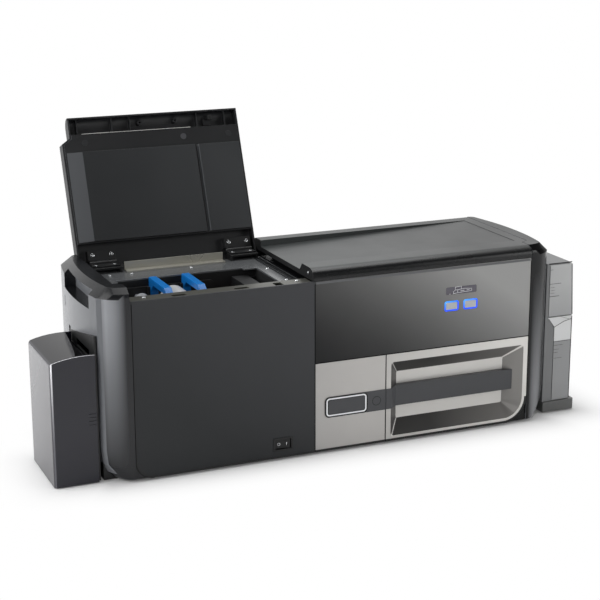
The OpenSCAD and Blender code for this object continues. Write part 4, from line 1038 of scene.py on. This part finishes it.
@dataclass
class Casing(SubAssembly):
    """Base, rear panel, end caps, laminator front and power switch."""

    switch: Point = (-49.25, 5.0, 24.0)
    rocker_tilt: float = -7.0
    foot: float = 4.0
    band: float = 3.4
    seam: float = 0.6

    def build(self) -> None:
        """Dresses the casing."""
        self.dress(
            base_pan="dark_steel", rear_panel="tray", dividing_wall="dark_steel",
            control_board="board", power_inlet="black",
        )
        self.mould_each(0.3, rubber_feet="rubber")
        self.mould_each(0.5, laminator_front_panel="laminator")
        # Painted light and shade on the caps: side faces take the lighter side finish, upward faces
        # the darker top, and the right cap's top the cover's painted sheen.
        tests = (
            lambda spot, way: abs(way.x) > 0.75,
            lambda spot, way: way.z > 0.25,
            lambda spot, way: spot.x > 0 and way.z > 0.25 and abs(way.y) < 0.35,
        )
        for side in ("left", "right"):
            tones = (f"{side}_cap", "cap_side", f"{side}_cap_top", "cover")
            self.mould(f"{side}_end_cap", *tones, edge=0.7, fold=24, tests=tests)
        self.mould_each(0.4, rocker_bezel="black", power_rocker="black")
        self.build_switch_marks()
        self.build_base_bands()
        self.build_corner_fill()
        self.build_seams()

    def build_base_bands(self) -> None:
        """Makes the dark bands along the lower edges of the front panels."""
        for name, corner in (("laminator", LEFT_CORNER), ("printer", RIGHT_CORNER)):
            seam = self.seam * corner.side
            outline = [*reversed(corner.curve()), (seam, self.foot), (seam, self.foot + self.band)]
            outline += corner.curve(-self.band)
            self.keep(sheet(f"{name}_base_band", outline, -0.22, 0.1), "black")

    def build_seams(self) -> None:
        """Makes the dark joints between the front panels and round them."""
        joints = {
            "centre_joint": ((-0.55, 4.2), (0.55, PANEL_TOP)),
            "upper_joint": ((0.6, 135.9), (346.4, 137.2)),
            "plain_joint": ((110.3, 4.5), (111.7, 136.2)),
        }
        for name, ((x0, z0), (x1, z1)) in joints.items():
            self.keep(block(name, (x0, -0.3, z0), (x1, 0.3, z1), 0.0), "joint")
        for name, corner in (("left_joint", LEFT_CORNER), ("right_joint", RIGHT_CORNER)):
            outer, inner = corner.curve(0.5), corner.curve(-0.4)
            top = [(outer[-1][0], PANEL_TOP), (inner[-1][0], PANEL_TOP)]
            self.keep(sheet(name, [*outer, *top, *reversed(inner)], -0.14, 0.3), "joint")

    def build_corner_fill(self) -> None:
        """Makes the plates behind the panels' round corners and the hopper's foot."""
        plates = (("left", LEFT_CORNER, -2.0, -265.6), ("right", RIGHT_CORNER, -1.5, 347.6))
        for side, corner, change, far in plates:
            outline = corner.curve(change)[::-1]
            outline += [(outline[-1][0], 4.6), (far, 4.6), (far, outline[0][1])]
            self.keep(sheet(f"{side}_corner_plate", outline, 2.4, 3.2), f"{side}_cap")
        outline = arc(-265.7, 42.0, 39.0, range(192, 258, 6))
        outline += [(outline[-1][0], 0.6), (outline[0][0], 0.6)]
        self.keep(sheet("hopper_foot", outline, 26.0, 138.0, 0.3), "black")

    def build_switch_marks(self) -> None:
        """Makes the O and the I on the rocker."""
        bpy.ops.mesh.primitive_torus_add(
            major_segments=28, minor_segments=8, major_radius=1.9 * MM, minor_radius=0.28 * MM
        )
        ring = fresh("switch_mark_off")
        ring.data.transform(Matrix.Rotation(radians(90), 4, "X"))
        bar = cube("switch_mark_on", (0.6 * MM, 0.4 * MM, 4.0 * MM))
        soften(bar, 0.1)
        tilt = Matrix.Rotation(radians(self.rocker_tilt), 4, "Z")
        for mark, side in ((ring, -1), (bar, 1)):
            face = Matrix.Translation(Vector((5.6 * side, -4.05, 0)) * MM)
            slope = Matrix.Rotation(radians(-6.2 * side), 4, "Z")
            pivot = Matrix.Translation(LAYOUT.at(*self.switch))
            mark.data.transform(pivot @ tilt @ face @ slope)
            self.keep(mark, "mark", slot="button_grey", body="rocker")


@dataclass
class Laminator(SubAssembly):
    """The open laminator: decks, rails, hinges, cartridge, handles and rollers."""

    rail_x: Point = (-15.5, -11.0, -7.5)

    def build(self) -> None:
        """Dresses the laminator and adds its side strip and handle tips."""
        self.dress(
            hinge_pins="bright", heated_roller_gear="gear", pressure_roller_gear="gear",
            laminator_pinion="brass", drive_motors="plated",
        )
        self.mould_each(
            0.3, laminator_bay="inner", laminator_deck="deck", body_hinge_leaves="black",
            heated_roller="silicone", pressure_roller="ground_rubber", heater_guard="black",
        )
        self.mould_each(0.4, laminate_cartridge="inner")
        self.mould_each(0.5, hinge_blocks="black", laminate_roll="film", waste_spool="waste_film")
        near = (lambda spot, way: spot.y < 40,)
        self.mould("deck_rails", "steel", "rail", edge=0.3, tests=near)
        tips = (lambda spot, way: spot.y < 61.5 and abs(way.x) < 0.5 and way.y < 0.9,)
        self.mould("blue_handles", "blue", "blue_tip", edge=0.7, tests=tips)
        for count, x in enumerate(self.rail_x):
            strip = block(f"side_strip_{count}", (x - 0.9, 32, 247.4), (x + 0.9, 190, 248.9), 0.4)
            self.keep(strip, "dark_steel", slot="dark_steel")


@dataclass
class LaminatorLid(SubAssembly):
    """The open lid with its liner, latch hook, hinge leaves and small trim."""

    cover_spots: Point = (-244.0, -93.0, -22.0)
    cover_y: float = 38.0
    rim: float = 256.0

    def build(self) -> None:
        """Dresses the lid and adds the liner's trim, drawn closed and swung open."""
        opened = LAYOUT.opened()
        closed = opened.inverted()
        self.mould("laminator_lid", "lid", fold=28)
        # Painted shade and light on the liner: its lowest band is painted darker and its left flank
        # lighter.
        level = (self.rim - 1.0) * MM
        tests = (
            lambda spot, way: (closed @ LAYOUT.at(*spot)).z > level,
            lambda spot, way: 0.12 < -way.x < 0.97,
        )
        self.mould("lid_liner", "liner", "liner_rim", "liner_flank", edge=0.5, tests=tests)
        self.mould_each(0.3, lid_latch_hook="black", lid_hinge_leaves="black")
        strip = block("liner_edge_strip", (-247, 24.5, 255.8), (-80, 25.0, 258.4), 0.15)
        strip.data.transform(opened)
        self.keep(strip, "pale_steel", slot="steel", body="lid")
        for count, x in enumerate(self.cover_spots):
            middle = LAYOUT.at(x, self.cover_y, self.rim - 0.15)
            cap = disc(f"liner_disc_{count}", 4.5, 0.5, middle, 32)
            soften(cap, 0.15)
            cap.data.transform(opened)
            tone = "graphite" if count == 1 else "graphite_dark"
            self.keep(cap, tone, slot="liner_plastic", body="lid")


BADGE_BACK = -0.9


@dataclass
class PrinterFront(SubAssembly):
    """Upper panel, display, buttons, silver panels, recess, bar and badge place."""

    display_x: float = 231.0
    display_z: float = 219.5

    def build(self) -> None:
        """Dresses the printer's front and adds its small trim."""
        self.mould_each(0.6, printer_upper_panel="upper", plain_lower_panel="silver")
        # The recess is one silver: its rim and floor are painted lighter, its flanks and its top
        # and bottom slopes darker, as painted light and shade.
        tones = ("silver_rim", "silver_floor", "silver_flank", "silver_shade")
        tests = (
            lambda spot, way: spot.y > 0.8 and way.y < -0.9,
            lambda spot, way: spot.y > 0.8 and abs(way.x) > 0.4,
            lambda spot, way: spot.y > 0.8 and abs(way.z) > 0.5,
        )
        self.mould("recess_bezel", *tones, fold=24, tests=tests)
        self.mould("grip_bar", "graphite", fold=20)
        self.mould_each(0.25, badge_plate="graphite")
        self.build_badge_frame()
        self.mould_each(0.3, lock_blank="graphite")
        self.mould_each(0.15, display_window="display")
        self.mould_each(0.4, left_button="key", right_button="key")
        second = (lambda spot, way: spot.x > self.display_x,)
        self.mould("button_rings", "ring", "second_ring", edge=0.25, tests=second)
        trim = block("panel_top_trim", (1.5, -0.35, 251.6), (345.5, 0.1, 254.9), 0.15)
        self.keep(trim, "graphite_light")
        self.build_icon()

    def build_badge_frame(self) -> None:
        """Makes the pale frame and the bare field of the badge place, and the lock's rim."""
        plates = {
            "badge_backing": ((15.0, 53.8), (82.0, 84.2), 6.0, -1.04, "black"),
            "badge_field": ((20.6, 58.6), (77.4, 79.4), 2.6, -1.08, "graphite"),
        }
        for name, (low, high, corner, front, finish) in plates.items():
            plate = sheet(name, rounded_outline(low, high, corner), front, BADGE_BACK)
            self.keep(plate, finish)
        frame = band_frame("badge_frame", ((17.0, 55.6), (80.0, 82.4)), 5.0, 2.1, -1.14)
        self.keep(frame, "mark", slot="button_grey")
        rim = band_frame("lock_rim", ((89.0, 62.0), (103.0, 76.0)), 6.95, 0.9, -1.12)
        self.keep(rim, "black")

    def build_icon(self) -> None:
        """Draws a plain machine outline on the display, in thin raised strokes."""
        strokes = [
            [(-6, -3.6), (17, -2.8), (17, 0.6), (6, 1.7), (-6, 0.8), (-6, -3.6), (-13, -4.6)],
            [(-13, -4.6), (-13, -1.4), (-10, 0.6), (-10, 5.0), (0, 5.5), (0, 1.4)],
            [(-10, 0.6), (-6, 0.8)],
            [(-1, -1.4), (5, -1.1)],
            [(9, -0.9), (13, -0.7)],
            [(-19.5, -4.6), (-17.5, -4.6)],
        ]
        bars = []
        for stroke in strokes:
            ends = [LAYOUT.at(self.display_x + x, 0.15, self.display_z + z) for x, z in stroke]
            for a, b in zip(ends, ends[1:]):
                way = b - a
                bar = cube("display_icon", (way.length + 0.4 * MM, 0.1 * MM, 0.5 * MM))
                turn = Matrix.Rotation(-atan2(way.z, way.x), 4, "Y")
                bar.data.transform(Matrix.Translation((a + b) / 2) @ turn)
                bars.append(bar)
        take(*bars)
        bpy.ops.object.join()
        self.keep(bars[0], "mark", slot="button_grey")


class Printer(SubAssembly):
    """The printer's cover and what lies under it."""

    def build(self) -> None:
        """Dresses the printer."""
        # The cover's top keeps its painted sheen; its front lip takes the darker lip finish.
        tests = (
            lambda spot, way: spot.y < 9 and way.z < 0.9,
            lambda spot, way: spot.x < -2 and way.x < -0.7,
        )
        self.mould("top_cover", "cover", "cover_lip", "black", fold=26, tests=tests)
        self.dress(
            printhead="plated", printer_bay="inner", printer_deck="dark_steel",
            platen_roller="ground_rubber", feed_roller="ground_rubber", printer_pinion="brass",
            ribbon_cartridge="inner", ribbon_supply_spool="ribbon",
            ribbon_take_up_spool="used_ribbon",
        )


@dataclass
class Hoppers(SubAssembly):
    """The output hopper on the left and the two-storey input hopper on the right."""

    front: float = 26.0
    side: float = 397.0
    fold: float = 438.4

    def build(self) -> None:
        """Dresses the hoppers and adds the edges and marks of the doors."""
        # Painted reflection on the output hopper's left side, painted shade on its top and a
        # painted highlight on its front left corner and rim.
        tones = ("smoke", "smoke_side", "smoke_top", "smoke_edge")
        tests = (
            lambda spot, way: way.x < -0.8,
            lambda spot, way: way.z > 0.85,
            self.catches_light,
        )
        wide = (2.0, self.on_crown)
        self.mould("output_hopper", *tones, edge=0.4, fold=24, wide=wide, tests=tests)
        pane = (lambda spot, way: spot.x > 393 and spot.y > 30 and way.z < 0.5,)
        self.mould("input_hopper_frame", "hopper_grey", "hopper_pane", edge=0.4, tests=pane)
        self.mould_each(0.6, hopper_base_tray="hopper_tray")
        self.mould_each(
            0.4, hopper_mount="black", upper_hopper_door="clear_door",
            lower_hopper_door="smoky_door",
        )
        self.dress(upper_card_lift="spring", lower_card_lift="spring")
        self.build_door_lines()

    @staticmethod
    def on_crown(spot: Vector) -> bool:
        """Says whether an edge is on the outer rim of the output hopper's top.

        Args:
            spot: The edge's middle, in working millimetres.

        Returns:
            True if it is.
        """
        low, high, corner = (-373.7, 20.0), (-303.7, 142.0), 5.0
        gaps = [
            max(0.0, abs(c - (a + b) / 2) - (b - a) / 2 + corner)
            for c, a, b in zip(spot, low, high)
        ]
        return spot.z > 160 and hypot(*gaps) > corner - 0.4 and spot.x < -311.9

    @staticmethod
    def catches_light(spot: Vector, way: Vector) -> bool:
        """Says whether a face is on the output hopper's front left corner or front rim, where a
        highlight is painted.

        Args:
            spot: The face's middle, in working millimetres.
            way: Its normal.

        Returns:
            True if it is.
        """
        corner = -0.8 < way.x < -0.45 and way.y < -0.5
        rim = 0.3 < way.z < 0.85 and way.y < -0.4
        return spot.y < 30 and (corner or rim)

    def edge_line(self, body: str, name: str, start: Flat, end: Flat, wide: float) -> None:
        """Lays a thin dark line on the doors' front.

        Args:
            body: The body that it rides on.
            name: The piece's name.
            start: X and Z of one end.
            end: X and Z of the other.
            wide: Its width in millimetres.
        """
        a, b = Vector(start), Vector(end)
        across = (b - a).orthogonal().normalized() * (wide / 2)
        outline = [a + across, a - across, b - across, b + across]
        line = sheet(name, outline, self.front - 0.25, self.front + 0.1)
        self.keep(line, "door_edge", body=body)

    def build_door_lines(self) -> None:
        """Makes the dark edges of the doors, the roof and the step, and the stack marks."""
        upper = [
            ("upper_fold_line", (434.962791, 232.5), (438.660465, 153.0), 1.4),
            ("upper_side_line", (self.side, 232.5), (self.side, 153.0), 0.5),
            ("upper_foot_line", (self.side, 152.6), (438.0, 152.6), 0.5),
        ]
        lower = [
            ("lower_fold_line", (self.fold, 150.5), (self.fold, 19.5), 1.3),
            ("lower_step_line", (397.4, 149.8), (407.6, 136.0), 0.7),
            ("lower_side_line", (407.8, 136.0), (407.8, 19.5), 0.6),
            ("band_line", (408.0, 112.5), (438.0, 112.5), 0.7),
            ("hook_line_low", (407.8, 135.6), (424.0, 143.0), 0.8),
            ("hook_line_high", (424.0, 143.0), (438.0, 146.0), 0.8),
            ("hook_line_back", (419.0, 151.0), (434.0, 146.0), 0.4),
        ]
        for count, (z, x) in enumerate(((226.0, 402.0), (204.0, 417.0), (184.5, 414.0))):
            upper.append((f"upper_mark_{count}", (397.4, z), (x, z), 0.6))
        for count, z in enumerate((198.5, 194.0, 189.5)):
            upper.append((f"upper_tick_{count}", (398.5, z), (406.0, z), 0.35))
        marks = ((106.5, 424.0), (100.0, 418.0), (95.0, 416.0), (86.0, 423.0))
        for count, (z, x) in enumerate(marks):
            lower.append((f"lower_mark_{count}", (408.4, z), (x, z), 0.45))
        self.edge_line("machine", "roof_line", (393.4, 235.4), (434.6, 235.4), 1.8)
        for body, lines in (("upper_door", upper), ("lower_door", lower)):
            for line in lines:
                self.edge_line(body, *line)


# ---- light and camera


@dataclass
class Studio:
    """Floor, lights, world and camera.

    The camera sees the floor's paper only in the shadow's reach round the footprints, so the
    paper's real shadow is deepened towards them by a painted contact shadow. Gloss sees it inside
    an ellipse with the half sizes gloss_half, and in front of that.
    """

    place: Point = (-0.8653, -2.0436, 0.7921)
    yaw: float = 23.071
    pitch: float = 15.232
    roll: float = -0.152
    lens: float = 92.54
    paper_tone: float = 0.86
    gloss_half: Flat = (0.62, 0.42)
    fill: float = 0.25
    shadow_reach: float = 0.085
    shadow_share: float = 0.95
    footprints: tuple[tuple[Flat, Flat], ...] = (
        ((-0.335, -0.148), (0.345, 0.083)),
        ((-0.41, -0.131), (-0.335, -0.009)),
        ((0.345, -0.133), (0.41, -0.031)),
    )

    def build(self) -> None:
        """Makes the studio."""
        self.build_camera()
        self.build_floor()
        self.build_world()
        self.add_light("left_box", (-2.3, 0.1, 1.1), (0, 0, 0.25), (2.2, 1.8), 52.0)
        self.add_light("top_box", (0.1, 0.5, 2.5), (0, 0, 0.2), (2.6, 2.0), 38.0)
        self.add_light("right_box", (2.3, -1.9, 0.9), (0.2, 0, 0.2), (1.6, 1.4), 24.0)
        self.add_light("front_box", (-1.2, -3.2, 1.9), (0, 0, 0.2), (2.4, 1.8), 17.0)

    def build_camera(self) -> None:
        """Stands the camera at its place and turn."""
        yaw = Matrix.Rotation(radians(-self.yaw), 4, "Z")
        pitch = Matrix.Rotation(radians(90 - self.pitch), 4, "X")
        roll = Matrix.Rotation(radians(self.roll), 4, "Z")
        camera = placed("camera", bpy.data.cameras.new("camera"))
        camera.data.lens = self.lens
        camera.data.clip_start = 0.05
        camera.data.clip_end = 50.0
        camera.matrix_world = Matrix.Translation(self.place) @ yaw @ pitch @ roll
        bpy.context.scene.camera = camera

    def build_floor(self) -> None:
        """Lays a pale floor that keeps the soft shadow, with a painted contact shadow near the
        footprints, and fades to white around it.
        """
        bpy.ops.mesh.primitive_plane_add(size=16)
        floor = bpy.context.active_object
        floor.name = "floor"
        finish = bpy.data.materials.new("floor_paper")
        web = NodeWeb(finish)
        paper = web.add("BsdfDiffuse", {"Color": (self.paper_tone,) * 3})
        glow = web.add("Emission", {"Color": (1.0, 1.0, 1.0), "Strength": 1.0})
        seen = web.add("LightPath", {}, "Is Camera Ray")
        mirrored = web.add("LightPath", {}, "Is Glossy Ray")
        wide, deep = self.gloss_half
        squeezed = web.vector("MULTIPLY", web.place(), (1 / wide, 1 / deep, 0.0))
        around = (web.vector("LENGTH", squeezed) - 1.0).bounded()
        behind = (web.along("Y") * 1.2 + 0.55).bounded()
        clear = self.distance(web, *self.footprints[0])
        for footprint in self.footprints[1:]:
            clear = web.math("MINIMUM", clear, self.distance(web, *footprint))
        # painted contact shadow: the paper shows more, and the floor darkens, the nearer the
        # footprints
        near = (1 - clear * (1 / self.shadow_reach)).bounded()
        share = seen * (1 - near * near * self.shadow_share) + mirrored * around * behind
        shown = web.add("MixShader", {0: share.bounded(), 1: paper, 2: glow})
        web.add("OutputMaterial", {"Surface": shown})
        paint(floor, finish)

    @staticmethod
    def distance(web: NodeWeb, low: Flat, high: Flat) -> Signal:
        """Returns how far a place on the floor lies outside a rectangle.

        Args:
            web: The floor's nodes.
            low: X and Y of the rectangle's lowest corner, in metres.
            high: X and Y of its highest corner.

        Returns:
            The distance in metres, and 0 inside.
        """
        squares = []
        for axis, a, b in zip("XY", low, high):
            away = web.math("ABSOLUTE", web.along(axis) - (a + b) / 2)
            gap = web.math("MAXIMUM", away - (b - a) / 2)
            squares.append(gap * gap)
        return web.math("SQRT", squares[0] + squares[1])

    def build_world(self) -> None:
        """Makes the white backdrop that the camera and gloss see, and a softer light."""
        world = bpy.data.worlds.new("studio")
        web = NodeWeb(world)
        seen = web.add("LightPath", {}, "Is Camera Ray")
        through = web.add("LightPath", {}, "Is Transmission Ray")
        glossy = web.add("LightPath", {}, "Is Glossy Ray")
        look = web.add("TexCoord", {}, "Generated")
        front_dark = (web.add("SeparateXYZ", {0: look}, "Y") * 0.9 + 0.55).bounded()
        white = (seen + through).bounded()
        level = white + glossy * front_dark * (1 - white) + (1 - white) * (1 - glossy) * self.fill
        light = web.add("Background", {"Color": (1.0, 1.0, 1.0), "Strength": level.bounded()})
        web.add("OutputWorld", {"Surface": light})
        bpy.context.scene.world = world

    def add_light(self, name: str, place: Point, aim: Point, size: Flat, power: float) -> None:
        """Hangs a soft box.

        Args:
            name: The light's name.
            place: Where it hangs, in metres.
            aim: The point that it faces.
            size: Its width and height in metres.
            power: Its power in watts.
        """
        light = bpy.data.lights.new(name, "AREA")
        light.shape = "RECTANGLE"
        light.size, light.size_y = size
        light.energy = power
        holder = placed(name, light)
        holder.location = place
        way = Vector(aim) - Vector(place)
        holder.rotation_euler = way.to_track_quat("-Z", "Y").to_euler()


def main() -> None:
    """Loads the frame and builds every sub-assembly in order."""
    logging.basicConfig(level=logging.INFO, format="%(message)s")
    bpy.ops.object.select_all(action="SELECT")
    bpy.ops.object.delete()
    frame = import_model()
    slots = {part["node"]: part["material_slot"] for part in frame["record"]["subparts"]}
    bpy.context.scene.view_settings.view_transform = "Standard"
    order = (Casing, Laminator, LaminatorLid, PrinterFront, Printer, Hoppers, Fasteners)
    for kind in order:
        kind(frame["nodes"], slots).build()
    Studio().build()


if __name__ == "__main__":
    main()
